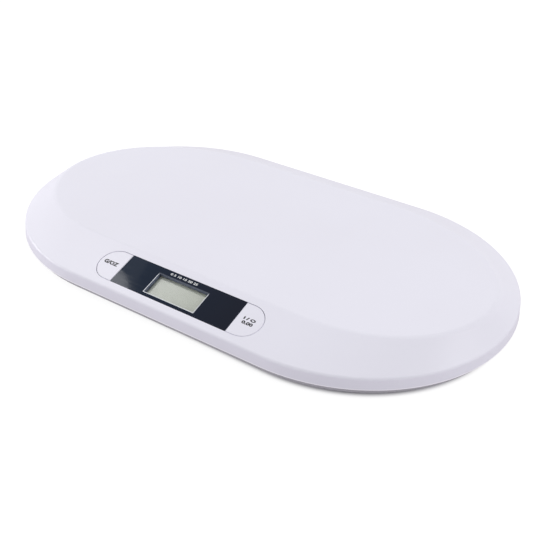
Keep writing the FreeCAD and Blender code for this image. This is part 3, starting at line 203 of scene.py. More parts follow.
glow = tree.nodes.new("ShaderNodeEmission")
glow.inputs["Color"].default_value = (1, 1, 1, 1)
shade = tree.nodes.new("ShaderNodeBsdfDiffuse")
seen = tree.nodes.new("ShaderNodeAddShader")
rays = tree.nodes.new("ShaderNodeLightPath")
either = tree.nodes.new("ShaderNodeMath")
either.operation = "MAXIMUM"
choice = tree.nodes.new("ShaderNodeMixShader")
geometry = tree.nodes.new("ShaderNodeNewGeometry")
passed = tree.nodes.new("ShaderNodeMath")
passed.operation = "GREATER_THAN"
passed.inputs[1].default_value = PASSED_ONCE
unseen = tree.nodes.new("ShaderNodeMath")
unseen.operation = "MAXIMUM"
nothing = tree.nodes.new("ShaderNodeBsdfTransparent")
one_way = tree.nodes.new("ShaderNodeMixShader")
tree.links.new(place.outputs["Object"], moved.inputs[0])
tree.links.new(moved.outputs["Vector"], axis.inputs["Vector"])
tree.links.new(axis.outputs["X"], side.inputs[0])
tree.links.new(side.outputs[0], past_run.inputs[0])
tree.links.new(past_run.outputs[0], from_middle.inputs["X"])
tree.links.new(axis.outputs["X"], slanted.inputs[0])
tree.links.new(axis.outputs["Y"], slanted.inputs[2])
tree.links.new(slanted.outputs[0], from_middle.inputs["Y"])
tree.links.new(from_middle.outputs["Vector"], reach.inputs[0])
tree.links.new(reach.outputs["Value"], painted_shadow_mask.inputs["Value"])
tree.links.new(painted_shadow_mask.outputs["Result"], strength.inputs["Value"])
tree.links.new(painted_shadow_mask.outputs["Result"], tones.inputs["Fac"])
tree.links.new(strength.outputs["Result"], glow.inputs["Strength"])
tree.links.new(tones.outputs["Color"], shade.inputs["Color"])
tree.links.new(glow.outputs[0], seen.inputs[0])
tree.links.new(shade.outputs[0], seen.inputs[1])
tree.links.new(rays.outputs["Is Camera Ray"], either.inputs[0])
tree.links.new(rays.outputs["Is Transmission Ray"], either.inputs[1])
tree.links.new(either.outputs[0], choice.inputs["Fac"])
tree.links.new(shader.outputs[0], choice.inputs[1])
tree.links.new(seen.outputs[0], choice.inputs[2])
tree.links.new(rays.outputs["Transparent Depth"], passed.inputs[0])
tree.links.new(geometry.outputs["Backfacing"], unseen.inputs[0])
tree.links.new(passed.outputs[0], unseen.inputs[1])
tree.links.new(unseen.outputs[0], one_way.inputs["Fac"])
tree.links.new(choice.outputs[0], one_way.inputs[1])
tree.links.new(nothing.outputs[0], one_way.inputs[2])
tree.links.new(one_way.outputs[0], tree.nodes["Material Output"].inputs["Surface"])
floor.data.materials.append(paper)

# ---------------------------------------------------------------- top cover
# One moulding of glossy white ABS with the platform, the sloping border and the
# rim. The polished tool leaves a faint waviness, so its gloss is not quite even.
SHELL_WHITE = (0.800, 0.790, 0.880)
SHELL_SHADE = (0.790, 0.778, 0.866)
TONE_RANGE = (0.35, 0.65)
GLOSS_RANGE = (0.3, 0.7)
NOISE_DETAIL = 2
GRAIN_STRENGTH = 0.35


def plastic(name, colour, shade, gloss, grain, depth, tone_size=9, specular=0.5):
    """Moulded plastic: two close tones, gloss that wanders between two values, and a fine
    grain of this many grains a metre and this depth."""
    material = bpy.data.materials.new(name)
    material.use_nodes = True
    tree = material.node_tree
    shader = tree.nodes["Principled BSDF"]
    shader.inputs["Specular IOR Level"].default_value = specular
    place = tree.nodes.new("ShaderNodeTexCoord")
    clouds = tree.nodes.new("ShaderNodeTexNoise")
    clouds.inputs["Scale"].default_value = tone_size
    clouds.inputs["Detail"].default_value = NOISE_DETAIL
    tones = tree.nodes.new("ShaderNodeValToRGB")
    tones.color_ramp.elements[0].position = TONE_RANGE[0]
    tones.color_ramp.elements[0].color = (*shade, 1)
    tones.color_ramp.elements[1].position = TONE_RANGE[1]
    tones.color_ramp.elements[1].color = (*colour, 1)
    polish = tree.nodes.new("ShaderNodeMapRange")
    polish.inputs["From Min"].default_value = GLOSS_RANGE[0]
    polish.inputs["From Max"].default_value = GLOSS_RANGE[1]
    polish.inputs["To Min"].default_value = gloss[0]
    polish.inputs["To Max"].default_value = gloss[1]
    grains = tree.nodes.new("ShaderNodeTexNoise")
    grains.inputs["Scale"].default_value = grain
    grains.inputs["Detail"].default_value = NOISE_DETAIL
    relief = tree.nodes.new("ShaderNodeBump")
    relief.inputs["Strength"].default_value = GRAIN_STRENGTH
    relief.inputs["Distance"].default_value = depth
    tree.links.new(place.outputs["Object"], clouds.inputs["Vector"])
    tree.links.new(place.outputs["Object"], grains.inputs["Vector"])
    tree.links.new(clouds.outputs["Fac"], tones.inputs["Fac"])
    tree.links.new(clouds.outputs["Fac"], polish.inputs["Value"])
    tree.links.new(grains.outputs["Fac"], relief.inputs["Height"])
    tree.links.new(tones.outputs["Color"], shader.inputs["Base Color"])
    tree.links.new(polish.outputs["Result"], shader.inputs["Roughness"])
    tree.links.new(relief.outputs["Normal"], shader.inputs["Normal"])
    return material


def dress(names, material):
    """Gives CAD nodes this material in place of their plain one."""
    for name in names:
        mesh = nodes[name].data
        mesh.materials.clear()
        mesh.materials.append(material)


shell_white = plastic("shell_white", colour=SHELL_WHITE, shade=SHELL_SHADE, gloss=(0.30, 0.36),
                      grain=700, depth=0.00002)

# Painted highlight: the base colour turns near white along the lower lip of the rim.
LIP_HIGHLIGHT = (0.95, 0.935, 1.0)
LIP_FROM = 0.0012
LIP_TO = 0.0006
tree = shell_white.node_tree
shader = tree.nodes["Principled BSDF"]
toned = shader.inputs["Base Color"].links[0].from_socket
place = tree.nodes.new("ShaderNodeTexCoord")
axis = tree.nodes.new("ShaderNodeSeparateXYZ")
lip = tree.nodes.new("ShaderNodeMapRange")
lip.inputs["From Min"].default_value = case_low[2] + LIP_FROM
lip.inputs["From Max"].default_value = case_low[2] + LIP_TO
lip_highlight_mix = tree.nodes.new("ShaderNodeMix")
lip_highlight_mix.data_type = "RGBA"
lip_highlight_mix.inputs["B"].default_value = (*LIP_HIGHLIGHT, 1)
tree.links.new(place.outputs["Object"], axis.inputs["Vector"])
tree.links.new(axis.outputs["Z"], lip.inputs["Value"])
tree.links.new(lip.outputs["Result"], lip_highlight_mix.inputs["Factor"])
tree.links.new(toned, lip_highlight_mix.inputs["A"])
tree.links.new(lip_highlight_mix.outputs["Result"], shader.inputs["Base Color"])
dress(["top_cover"], shell_white)

# ---------------------------------------------------------------- display bezel
# A black window plate of acrylic, pressed flush into the slope between the buttons.
# It is printed black on its face, and the cut walls of its opening stay blue-grey.
press = next(joint for joint in frame["joints"] if joint["name"] == "unit_button_press")
outward = -Vector(press["axis"])
uphill = Vector((0, outward.z, -outward.y))
plate = [corner.co.copy() for corner in nodes["display_bezel"].data.vertices]
face_level = max(corner.dot(outward) for corner in plate)
face_slope = [corner.dot(uphill) for corner in plate]
face_middle = (min(face_slope) + max(face_slope)) / 2


def on_panel(across, along, above=0.0):
    """The point that lies this far across, up the slope and above the face of the bezel."""
    return Vector((across, 0, 0)) + uphill * (face_middle + along) + outward * (face_level + above)


# Painted reflection: the black ink colour runs from a lighter bluish black on the left to a darker black on
# the right.
PRINT_AND_SHEEN_LEFT = (0.0090, 0.0180, 0.0380)
PRINT_AND_SHEEN_RIGHT = (0.0085, 0.0110, 0.0220)
CUT_EDGE = (0.12, 0.14, 0.19)
BEZEL_SPECULAR = 0.10
SHEEN_SPAN = 0.067
INK_SKIN = 0.00005
WIPE_TURN = math.radians(12)
WIPE_STRETCH = (18, 420, 420)
WIPE_DETAIL = 3
SMEAR_RANGE = (0.45, 0.75)
SMEAR_GLOSS = (0.03, 0.12)
bezel_black = bpy.data.materials.new("bezel_black")
bezel_black.use_nodes = True
tree = bezel_black.node_tree
shader = tree.nodes["Principled BSDF"]
shader.inputs["Specular IOR Level"].default_value = BEZEL_SPECULAR
place = tree.nodes.new("ShaderNodeTexCoord")
axis = tree.nodes.new("ShaderNodeSeparateXYZ")
sheen_across = tree.nodes.new("ShaderNodeMapRange")
sheen_across.inputs["From Min"].default_value = -SHEEN_SPAN
sheen_across.inputs["From Max"].default_value = SHEEN_SPAN
ink = tree.nodes.new("ShaderNodeValToRGB")
ink.color_ramp.elements[0].color = (*PRINT_AND_SHEEN_LEFT, 1)
ink.color_ramp.elements[1].color = (*PRINT_AND_SHEEN_RIGHT, 1)
height = tree.nodes.new("ShaderNodeVectorMath")
height.operation = "DOT_PRODUCT"
height.inputs[1].default_value = outward
below = tree.nodes.new("ShaderNodeMath")
below.operation = "LESS_THAN"
below.inputs[1].default_value = face_level - INK_SKIN
cut = tree.nodes.new("ShaderNodeMix")
cut.data_type = "RGBA"
cut.inputs["B"].default_value = (*CUT_EDGE, 1)
wiped = tree.nodes.new("ShaderNodeMapping")
wiped.inputs["Rotation"].default_value = (0, 0, WIPE_TURN)
wiped.inputs["Scale"].default_value = WIPE_STRETCH
streaks = tree.nodes.new("ShaderNodeTexNoise")
streaks.inputs["Scale"].default_value = 1
streaks.inputs["Detail"].default_value = WIPE_DETAIL
smear = tree.nodes.new("ShaderNodeMapRange")
smear.inputs["From Min"].default_value = SMEAR_RANGE[0]
smear.inputs["From Max"].default_value = SMEAR_RANGE[1]
smear.inputs["To Min"].default_value = SMEAR_GLOSS[0]
smear.inputs["To Max"].default_value = SMEAR_GLOSS[1]
tree.links.new(place.outputs["Object"], axis.inputs["Vector"])
tree.links.new(axis.outputs["X"], sheen_across.inputs["Value"])
tree.links.new(sheen_across.outputs["Result"], ink.inputs["Fac"])
tree.links.new(place.outputs["Object"], height.inputs[0])
tree.links.new(height.outputs["Value"], below.inputs[0])
tree.links.new(below.outputs["Value"], cut.inputs["Factor"])
tree.links.new(ink.outputs["Color"], cut.inputs["A"])
tree.links.new(cut.outputs["Result"], shader.inputs["Base Color"])
tree.links.new(place.outputs["Object"], wiped.inputs["Vector"])
tree.links.new(wiped.outputs["Vector"], streaks.inputs["Vector"])
tree.links.new(streaks.outputs["Fac"], smear.inputs["Value"])
tree.links.new(smear.outputs["Result"], shader.inputs["Roughness"])
dress(["display_bezel"], bezel_black)

# ---------------------------------------------------------------- opening edge
# The ink stops just short of the display opening, so the polished cut edge of the clear plate shows round it
# as a thin line. Its colour is a painted glint: near white on the sides and at the bottom, and painted dim
# towards the top.
EDGE_LINE = 0.00058
EDGE_HEIGHT = 0.00006
EDGE_PAINTED_GLINT = (0.80, 0.82, 0.88)
EDGE_PAINTED_DIM = (0.075, 0.085, 0.12)
DIM_BAND = 0.002
SAW_MARKS = 1500
SAW_GLOSS = (0.15, 0.35)
COLLAR_WALL = 0.0018
lens = [corner.co.copy() for corner in nodes["display_lens"].data.vertices]
opening_slope = [corner.dot(uphill) - face_middle for corner in lens]
opening_middle = (min(opening_slope) + max(opening_slope)) / 2
opening_width = max(corner.x for corner in lens) * 2 - 2 * COLLAR_WALL
opening_height = max(opening_slope) - min(opening_slope) - 2 * COLLAR_WALL
opening_top = face_middle + opening_middle + opening_height / 2


def lay_on_panel(piece, across, along, above):
    """Puts a piece drawn flat round the origin on the slope, and leaves its object there."""
    turn = Matrix((Vector((1, 0, 0)), uphill, outward)).transposed().to_4x4()
    piece.data.transform(Matrix.Translation(on_panel(across, along, above)) @ turn)
    piece.data.update()


bpy.ops.object.select_all(action="DESELECT")
bpy.ops.mesh.primitive_plane_add(size=1)
edge_line = bpy.context.object
edge_line.name = "opening_edge"
edge_line.scale = (opening_width + 2 * EDGE_LINE, opening_height + 2 * EDGE_LINE, 1)
bpy.ops.object.transform_apply(location=True, rotation=True, scale=True)
bpy.ops.object.mode_set(mode="EDIT")
bpy.ops.mesh.inset(thickness=EDGE_LINE)
bpy.ops.mesh.delete(type="FACE")
bpy.ops.mesh.select_all(action="SELECT")
bpy.ops.mesh.extrude_region_move(TRANSFORM_OT_translate={"value": (0, 0, EDGE_HEIGHT)})
bpy.ops.mesh.select_all(action="SELECT")
bpy.ops.mesh.normals_make_consistent(inside=False)
bpy.ops.object.mode_set(mode="OBJECT")
lay_on_panel(edge_line, 0, opening_middle, 0)
glint_painted_edge = bpy.data.materials.new("glint_painted_edge")
glint_painted_edge.use_nodes = True
tree = glint_painted_edge.node_tree
shader = tree.nodes["Principled BSDF"]
place = tree.nodes.new("ShaderNodeTexCoord")
height = tree.nodes.new("ShaderNodeVectorMath")
height.operation = "DOT_PRODUCT"
height.inputs[1].default_value = uphill
span = tree.nodes.new("ShaderNodeMapRange")
span.inputs["From Min"].default_value = opening_top - DIM_BAND
span.inputs["From Max"].default_value = opening_top
lit = tree.nodes.new("ShaderNodeValToRGB")
lit.color_ramp.elements[0].color = (*EDGE_PAINTED_GLINT, 1)
lit.color_ramp.elements[1].color = (*EDGE_PAINTED_DIM, 1)
marks = tree.nodes.new("ShaderNodeTexNoise")
marks.inputs["Scale"].default_value = SAW_MARKS
sawn = tree.nodes.new("ShaderNodeMapRange")
sawn.inputs["To Min"].default_value = SAW_GLOSS[0]
sawn.inputs["To Max"].default_value = SAW_GLOSS[1]
tree.links.new(place.outputs["Object"], height.inputs[0])
tree.links.new(height.outputs["Value"], span.inputs["Value"])
tree.links.new(span.outputs["Result"], lit.inputs["Fac"])
tree.links.new(lit.outputs["Color"], shader.inputs["Base Color"])
tree.links.new(place.outputs["Object"], marks.inputs["Vector"])
tree.links.new(marks.outputs["Fac"], sawn.inputs["Value"])
tree.links.new(sawn.outputs["Result"], shader.inputs["Roughness"])
edge_line.data.materials.append(glint_painted_edge)
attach(edge_line, "case")

# ---------------------------------------------------------------- lens
# A clear acrylic pane under the opening, polished on both faces and held against the
# collar of the bezel. It lets light straight through and mirrors a little of the tent.
LENS_INDEX = 1.4
LENS_HAZE = 300
LENS_GLOSS = (0.02, 0.06)
LENS_TINTS = ((0.985, 0.992, 0.988), (0.990, 0.995, 0.992))
lens_clear = bpy.data.materials.new("lens_clear")
lens_clear.use_nodes = True
tree = lens_clear.node_tree
tree.nodes.remove(tree.nodes["Principled BSDF"])
through = tree.nodes.new("ShaderNodeBsdfTransparent")
mirror = tree.nodes.new("ShaderNodeBsdfGlossy")
mirror.inputs["Color"].default_value = (1, 1, 1, 1)
place = tree.nodes.new("ShaderNodeTexCoord")
haze = tree.nodes.new("ShaderNodeTexNoise")
haze.inputs["Scale"].default_value = LENS_HAZE
wipe = tree.nodes.new("ShaderNodeMapRange")
wipe.inputs["To Min"].default_value = LENS_GLOSS[0]
wipe.inputs["To Max"].default_value = LENS_GLOSS[1]
tint = tree.nodes.new("ShaderNodeValToRGB")
tint.color_ramp.elements[0].color = (*LENS_TINTS[0], 1)
tint.color_ramp.elements[1].color = (*LENS_TINTS[1], 1)
surface = tree.nodes.new("ShaderNodeFresnel")
surface.inputs["IOR"].default_value = LENS_INDEX
rays = tree.nodes.new("ShaderNodeLightPath")
unshaded = tree.nodes.new("ShaderNodeMath")
unshaded.operation = "SUBTRACT"
unshaded.use_clamp = True
choice = tree.nodes.new("ShaderNodeMixShader")
tree.links.new(place.outputs["Object"], haze.inputs["Vector"])
tree.links.new(haze.outputs["Fac"], wipe.inputs["Value"])
tree.links.new(haze.outputs["Fac"], tint.inputs["Fac"])
tree.links.new(wipe.outputs["Result"], mirror.inputs["Roughness"])
tree.links.new(tint.outputs["Color"], through.inputs["Color"])
tree.links.new(surface.outputs["Fac"], unshaded.inputs[0])
tree.links.new(rays.outputs["Is Shadow Ray"], unshaded.inputs[1])
tree.links.new(unshaded.outputs[0], choice.inputs["Fac"])
tree.links.new(through.outputs[0], choice.inputs[1])
tree.links.new(mirror.outputs[0], choice.inputs[2])
tree.links.new(choice.outputs[0], tree.nodes["Material Output"].inputs["Surface"])
dress(["display_lens"], lens_clear)

# ---------------------------------------------------------------- display glass
# Two panes with liquid crystal between them, over a grey-green reflector. It is off.
# Its grey is painted lighter on the left and darker on the right, a painted shade. A dark blue band runs along
# its left and top edges, partly the seal and partly painted shade, and fades into the grey.
LCD_PAINTED_LIGHT_LEFT = (0.685, 0.705, 0.636)
LCD_PAINTED_SHADE_RIGHT = (0.510, 0.528, 0.464)
SEAL_AND_SHADE = (0.060, 0.072, 0.105)
SEAL_SHADE_LEFT = (-0.0302, -0.0272)
SEAL_SHADE_TOP = (0.0130, 0.0112)
LCD_SPECULAR = 0.3
ETCHING = 2500
ETCHED_GLOSS = (0.25, 0.40)
lcd_grey = bpy.data.materials.new("lcd_grey")
lcd_grey.use_nodes = True
tree = lcd_grey.node_tree
shader = tree.nodes["Principled BSDF"]
shader.inputs["Specular IOR Level"].default_value = LCD_SPECULAR
place = tree.nodes.new("ShaderNodeTexCoord")
axis = tree.nodes.new("ShaderNodeSeparateXYZ")
height = tree.nodes.new("ShaderNodeVectorMath")
height.operation = "DOT_PRODUCT"
height.inputs[1].default_value = uphill
span = tree.nodes.new("ShaderNodeMapRange")
span.inputs["From Min"].default_value = SEAL_SHADE_LEFT[0]
span.inputs["From Max"].default_value = -SEAL_SHADE_LEFT[0]
reflector_painted_shade = tree.nodes.new("ShaderNodeValToRGB")
reflector_painted_shade.color_ramp.elements[0].color = (*LCD_PAINTED_LIGHT_LEFT, 1)
reflector_painted_shade.color_ramp.elements[1].color = (*LCD_PAINTED_SHADE_RIGHT, 1)
from_left = tree.nodes.new("ShaderNodeMapRange")
from_left.interpolation_type = "SMOOTHSTEP"
from_left.inputs["From Min"].default_value = SEAL_SHADE_LEFT[0]
from_left.inputs["From Max"].default_value = SEAL_SHADE_LEFT[1]
from_top = tree.nodes.new("ShaderNodeMapRange")
from_top.interpolation_type = "SMOOTHSTEP"
from_top.inputs["From Min"].default_value = face_middle + SEAL_SHADE_TOP[0]
from_top.inputs["From Max"].default_value = face_middle + SEAL_SHADE_TOP[1]
inside = tree.nodes.new("ShaderNodeMath")
inside.operation = "MULTIPLY"
seal_and_shade_mix = tree.nodes.new("ShaderNodeMix")
seal_and_shade_mix.data_type = "RGBA"
seal_and_shade_mix.inputs["A"].default_value = (*SEAL_AND_SHADE, 1)
grain = tree.nodes.new("ShaderNodeTexNoise")
grain.inputs["Scale"].default_value = ETCHING
etched = tree.nodes.new("ShaderNodeMapRange")
etched.inputs["To Min"].default_value = ETCHED_GLOSS[0]
etched.inputs["To Max"].default_value = ETCHED_GLOSS[1]
tree.links.new(place.outputs["Object"], axis.inputs["Vector"])
tree.links.new(place.outputs["Object"], height.inputs[0])
tree.links.new(place.outputs["Object"], grain.inputs["Vector"])
tree.links.new(axis.outputs["X"], span.inputs["Value"])
tree.links.new(span.outputs["Result"], reflector_painted_shade.inputs["Fac"])
tree.links.new(axis.outputs["X"], from_left.inputs["Value"])
tree.links.new(height.outputs["Value"], from_top.inputs["Value"])
tree.links.new(from_left.outputs["Result"], inside.inputs[0])
tree.links.new(from_top.outputs["Result"], inside.inputs[1])
tree.links.new(inside.outputs[0], seal_and_shade_mix.inputs["Factor"])
tree.links.new(reflector_painted_shade.outputs["Color"], seal_and_shade_mix.inputs["B"])
tree.links.new(seal_and_shade_mix.outputs["Result"], shader.inputs["Base Color"])
tree.links.new(grain.outputs["Fac"], etched.inputs["Value"])
tree.links.new(etched.outputs["Result"], shader.inputs["Roughness"])
dress(["lcd_glass"], lcd_grey)

# ---------------------------------------------------------------- display frame
# A black moulded frame that holds the glass up against the bezel, with a fine
# spark-eroded texture.
frame_black = plastic("frame_black", colour=(0.030, 0.030, 0.034), shade=(0.022, 0.022, 0.025),
                      gloss=(0.45, 0.6), grain=3000, depth=0.00004)
dress(["lcd_frame"], frame_black)

# ---------------------------------------------------------------- connector strips
# Two soft strips of rubber in thin layers, filled with carbon and plain in turn. They
# are squeezed between the edge of the glass and the gold pads of the board.
RUBBER_DARK = (0.012, 0.012, 0.012)
RUBBER_PALE = (0.10, 0.10, 0.10)
RUBBER_ROUGHNESS = 0.75
LAYER_RANGE = (0.4, 0.6)
LAYERS = 1400
LAYER_WAVER = 0.4
zebra = bpy.data.materials.new("zebra_rubber")
zebra.use_nodes = True
tree = zebra.node_tree
shader = tree.nodes["Principled BSDF"]
shader.inputs["Roughness"].default_value = RUBBER_ROUGHNESS
place = tree.nodes.new("ShaderNodeTexCoord")
layers = tree.nodes.new("ShaderNodeTexWave")
layers.bands_direction = "X"
layers.inputs["Scale"].default_value = LAYERS
layers.inputs["Distortion"].default_value = LAYER_WAVER
tones = tree.nodes.new("ShaderNodeValToRGB")
tones.color_ramp.elements[0].position = LAYER_RANGE[0]
tones.color_ramp.elements[0].color = (*RUBBER_DARK, 1)
tones.color_ramp.elements[1].position = LAYER_RANGE[1]
tones.color_ramp.elements[1].color = (*RUBBER_PALE, 1)
tree.links.new(place.outputs["Object"], layers.inputs["Vector"])
tree.links.new(layers.outputs["Color"], tones.inputs["Fac"])
tree.links.new(tones.outputs["Color"], shader.inputs["Base Color"])
dress(["lcd_connector_strips"], zebra)

# ---------------------------------------------------------------- push buttons
# Two hollow keys of the same white plastic as the cover, each with a round outer end,
# held by their flanges. They sit flush with the slope and travel a short way into it.
key_white = plastic("key_white", colour=SHELL_WHITE, shade=SHELL_SHADE, gloss=(0.28, 0.34), grain=700,
                    depth=0.00002)
dress(["unit_button", "power_button"], key_white)

# ---------------------------------------------------------------- button marks
# Black marks printed on the buttons, level and square to the display: the two units on
# the left one, the sign for power over a plain zero on the right one.
INK_HEIGHT = 0.00004
CAPITAL_SHARE = 0.7
LETTER_STEPS = 4


def printed(name, words, size, across, along, above, bold):
    """Words as a thin layer of ink of this width and height, centred on a point of the panel."""
    bpy.ops.object.select_all(action="DESELECT")
    bpy.ops.object.text_add()
    piece = bpy.context.object
    piece.name = name
    piece.data.body = words
    piece.data.size = size[1] / CAPITAL_SHARE
    piece.data.offset = bold
    piece.data.extrude = INK_HEIGHT / 2
    piece.data.resolution_u = LETTER_STEPS
    bpy.ops.object.convert(target="MESH")
    piece = bpy.context.object
    corners = [corner.co for corner in piece.data.vertices]
    low = Vector([min(corner[way] for corner in corners) for way in range(3)])
    high = Vector([max(corner[way] for corner in corners) for way in range(3)])
    fit = (size[0] / (high.x - low.x), size[1] / (high.y - low.y), 1, 1)
    piece.data.transform(Matrix.Diagonal(fit) @ Matrix.Translation(-(low + high) / 2))
    lay_on_panel(piece, across, along, above)
    return piece


def top_of(name):
    """How far the highest face of a panel piece stands over the bezel."""
    return max(corner.co.dot(outward) for corner in nodes[name].data.vertices) - face_level


ink_black = plastic("ink_black", colour=(0.012, 0.012, 0.016), shade=(0.020, 0.020, 0.025),
                    gloss=(0.35, 0.5), grain=2500, depth=0.00001, tone_size=200)
key_top = top_of("unit_button")
unit_mark = printed("unit_mark", "G/OZ", size=(0.0168, 0.0047), across=-0.0818, along=0.0008,
                    above=key_top, bold=0.00036)
unit_mark.data.materials.append(ink_black)
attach(unit_mark, "unit_key")
power_mark = printed("power_mark", "I / O", size=(0.0126, 0.0033), across=0.0806, along=0.0023,
                     above=key_top, bold=0.00028)
power_mark.data.materials.append(ink_black)
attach(power_mark, "power_key")
zero_mark = printed("zero_mark", "0.00", size=(0.0116, 0.0036), across=0.0808, along=-0.0024,
                    above=key_top, bold=0.00028)
zero_mark.data.materials.append(ink_black)
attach(zero_mark, "power_key")

# ---------------------------------------------------------------- bezel numbers
# A row of plain numbers, printed in white ink on the face of the bezel, over the display
# opening.
ink_white = plastic("ink_white", colour=(0.78, 0.79, 0.80), shade=(0.70, 0.71, 0.73), gloss=(0.4, 0.5),
                    grain=2500, depth=0.00001, tone_size=200)
row_marks = printed("bezel_numbers", "0 5 10 15 20 25", size=(0.0318, 0.0026), across=-0.0028,
                    along=0.0152, above=0, bold=0.00010)
row_marks.data.materials.append(ink_white)
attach(row_marks, "case")

# ---------------------------------------------------------------- main board
# Glass-fibre board under green solder mask. Copper tracks show as paler green lines,
# and the mask is glossy.
MASK_DARK = (0.010, 0.075, 0.030)
MASK_LIGHT = (0.014, 0.095, 0.040)
TRACK_GREEN = (0.050, 0.240, 0.100)
TRACK_STAGGER = 0.37
TRACK_COUNT = 120
TRACK_WIDTH = 0.045
TRACK_BLUR = 0.2
TRACK_HEIGHT = 0.00005
TRACK_STRENGTH = 0.4
MASK_COAT = 0.4
MASK_COAT_ROUGHNESS = 0.15
MASK_ROUGHNESS = 0.4
board_green = bpy.data.materials.new("board_green")
board_green.use_nodes = True
tree = board_green.node_tree
shader = tree.nodes["Principled BSDF"]
shader.inputs["Coat Weight"].default_value = MASK_COAT
shader.inputs["Coat Roughness"].default_value = MASK_COAT_ROUGHNESS
shader.inputs["Roughness"].default_value = MASK_ROUGHNESS
place = tree.nodes.new("ShaderNodeTexCoord")
tracks = tree.nodes.new("ShaderNodeTexBrick")
tracks.offset = TRACK_STAGGER
tracks.inputs["Scale"].default_value = TRACK_COUNT
tracks.inputs["Mortar Size"].default_value = TRACK_WIDTH
tracks.inputs["Mortar Smooth"].default_value = TRACK_BLUR
tracks.inputs["Color1"].default_value = (*MASK_DARK, 1)
tracks.inputs["Color2"].default_value = (*MASK_LIGHT, 1)
tracks.inputs["Mortar"].default_value = (*TRACK_GREEN, 1)
raised = tree.nodes.new("ShaderNodeBump")
raised.inputs["Strength"].default_value = TRACK_STRENGTH
raised.inputs["Distance"].default_value = TRACK_HEIGHT
tree.links.new(place.outputs["Object"], tracks.inputs["Vector"])
tree.links.new(tracks.outputs["Color"], shader.inputs["Base Color"])
tree.links.new(tracks.outputs["Fac"], raised.inputs["Height"])
tree.links.new(raised.outputs["Normal"], shader.inputs["Normal"])
dress(["main_board"], board_green)

# ---------------------------------------------------------------- board parts
# The controller, its crystal and two capacitors in black packages, and the switch
# cases. Their moulded skins are matt and a little pitted.
package_black = plastic("package_black", colour=(0.026, 0.026, 0.028), shade=(0.016, 0.016, 0.018),
                        gloss=(0.5, 0.65), grain=5000, depth=0.00003, tone_size=120)
dress(["board_components", "unit_switch", "power_switch"], package_black)
nylon = plastic("undyed_nylon", colour=(0.72, 0.70, 0.62), shade=(0.64, 0.62, 0.54), gloss=(0.38, 0.5),
                grain=2500, depth=0.00002, tone_size=60)
dress(["wire_sockets", "unit_switch_plunger", "power_switch_plunger"], nylon)

# ---------------------------------------------------------------- inner screws
# Pan head screws of zinc-plated steel, cold headed and rolled. Four hold the board on its
# bosses, and eight hold the load cell clamps.
METAL_TONE_RANGE = (0.3, 0.7)
METAL_DETAIL = 3
METAL_STRENGTH = 0.3


def metal(name, colour, shade, roughness, streak, depth):
    """Plated or rolled metal with fine lines that run along X."""
    material = bpy.data.materials.new(name)
    material.use_nodes = True
    tree = material.node_tree
    shader = tree.nodes["Principled BSDF"]
    shader.inputs["Metallic"].default_value = 1
    place = tree.nodes.new("ShaderNodeTexCoord")
    rolled = tree.nodes.new("ShaderNodeMapping")
    rolled.inputs["Scale"].default_value = streak
    lines = tree.nodes.new("ShaderNodeTexNoise")
    lines.inputs["Scale"].default_value = 1
    lines.inputs["Detail"].default_value = METAL_DETAIL
    tones = tree.nodes.new("ShaderNodeValToRGB")
    tones.color_ramp.elements[0].position = METAL_TONE_RANGE[0]
    tones.color_ramp.elements[0].color = (*shade, 1)
    tones.color_ramp.elements[1].position = METAL_TONE_RANGE[1]
    tones.color_ramp.elements[1].color = (*colour, 1)
    dull = tree.nodes.new("ShaderNodeMapRange")
    dull.inputs["To Min"].default_value = roughness[0]
    dull.inputs["To Max"].default_value = roughness[1]
    relief = tree.nodes.new("ShaderNodeBump")
    relief.inputs["Strength"].default_value = METAL_STRENGTH
    relief.inputs["Distance"].default_value = depth
    tree.links.new(place.outputs["Object"], rolled.inputs["Vector"])
    tree.links.new(rolled.outputs["Vector"], lines.inputs["Vector"])
    tree.links.new(lines.outputs["Fac"], tones.inputs["Fac"])
    tree.links.new(lines.outputs["Fac"], dull.inputs["Value"])
    tree.links.new(lines.outputs["Fac"], relief.inputs["Height"])
    tree.links.new(tones.outputs["Color"], shader.inputs["Base Color"])
    tree.links.new(dull.outputs["Result"], shader.inputs["Roughness"])
    tree.links.new(relief.outputs["Normal"], shader.inputs["Normal"])
    return material


zinc = metal("zinc_plate", colour=(0.66, 0.67, 0.70), shade=(0.52, 0.53, 0.56), roughness=(0.22, 0.40),
             streak=(900, 900, 900), depth=0.00002)
dress(["board_screws", "bracket_screws"], zinc)

# ---------------------------------------------------------------- load cells
# Four E plates stamped from spring steel, whose tongues carry the feet. A strain gauge
# is glued on each tongue under a bead of white sealant, and a clamp holds the frame.
CORNERS = [f"{end}_{side}" for end in ("front", "back") for side in ("left", "right")]
cell_steel = metal("cell_steel", colour=(0.50, 0.51, 0.53), shade=(0.40, 0.41, 0.43),
                   roughness=(0.28, 0.45), streak=(150, 2500, 2500), depth=0.00003)
dress([f"load_cell_{corner}" for corner in CORNERS], cell_steel)
sealant = plastic("gauge_sealant", colour=(0.70, 0.70, 0.67), shade=(0.62, 0.62, 0.58),
                  gloss=(0.3, 0.45), grain=500, depth=0.0002, tone_size=80)
dress(["strain_gauges"], sealant)
clamp_white = plastic("clamp_plastic", colour=(0.62, 0.62, 0.61), shade=(0.57, 0.57, 0.56),
                      gloss=(0.45, 0.6), grain=2500, depth=0.00004, tone_size=30)
dress([f"load_cell_bracket_{corner}" for corner in CORNERS], clamp_white)

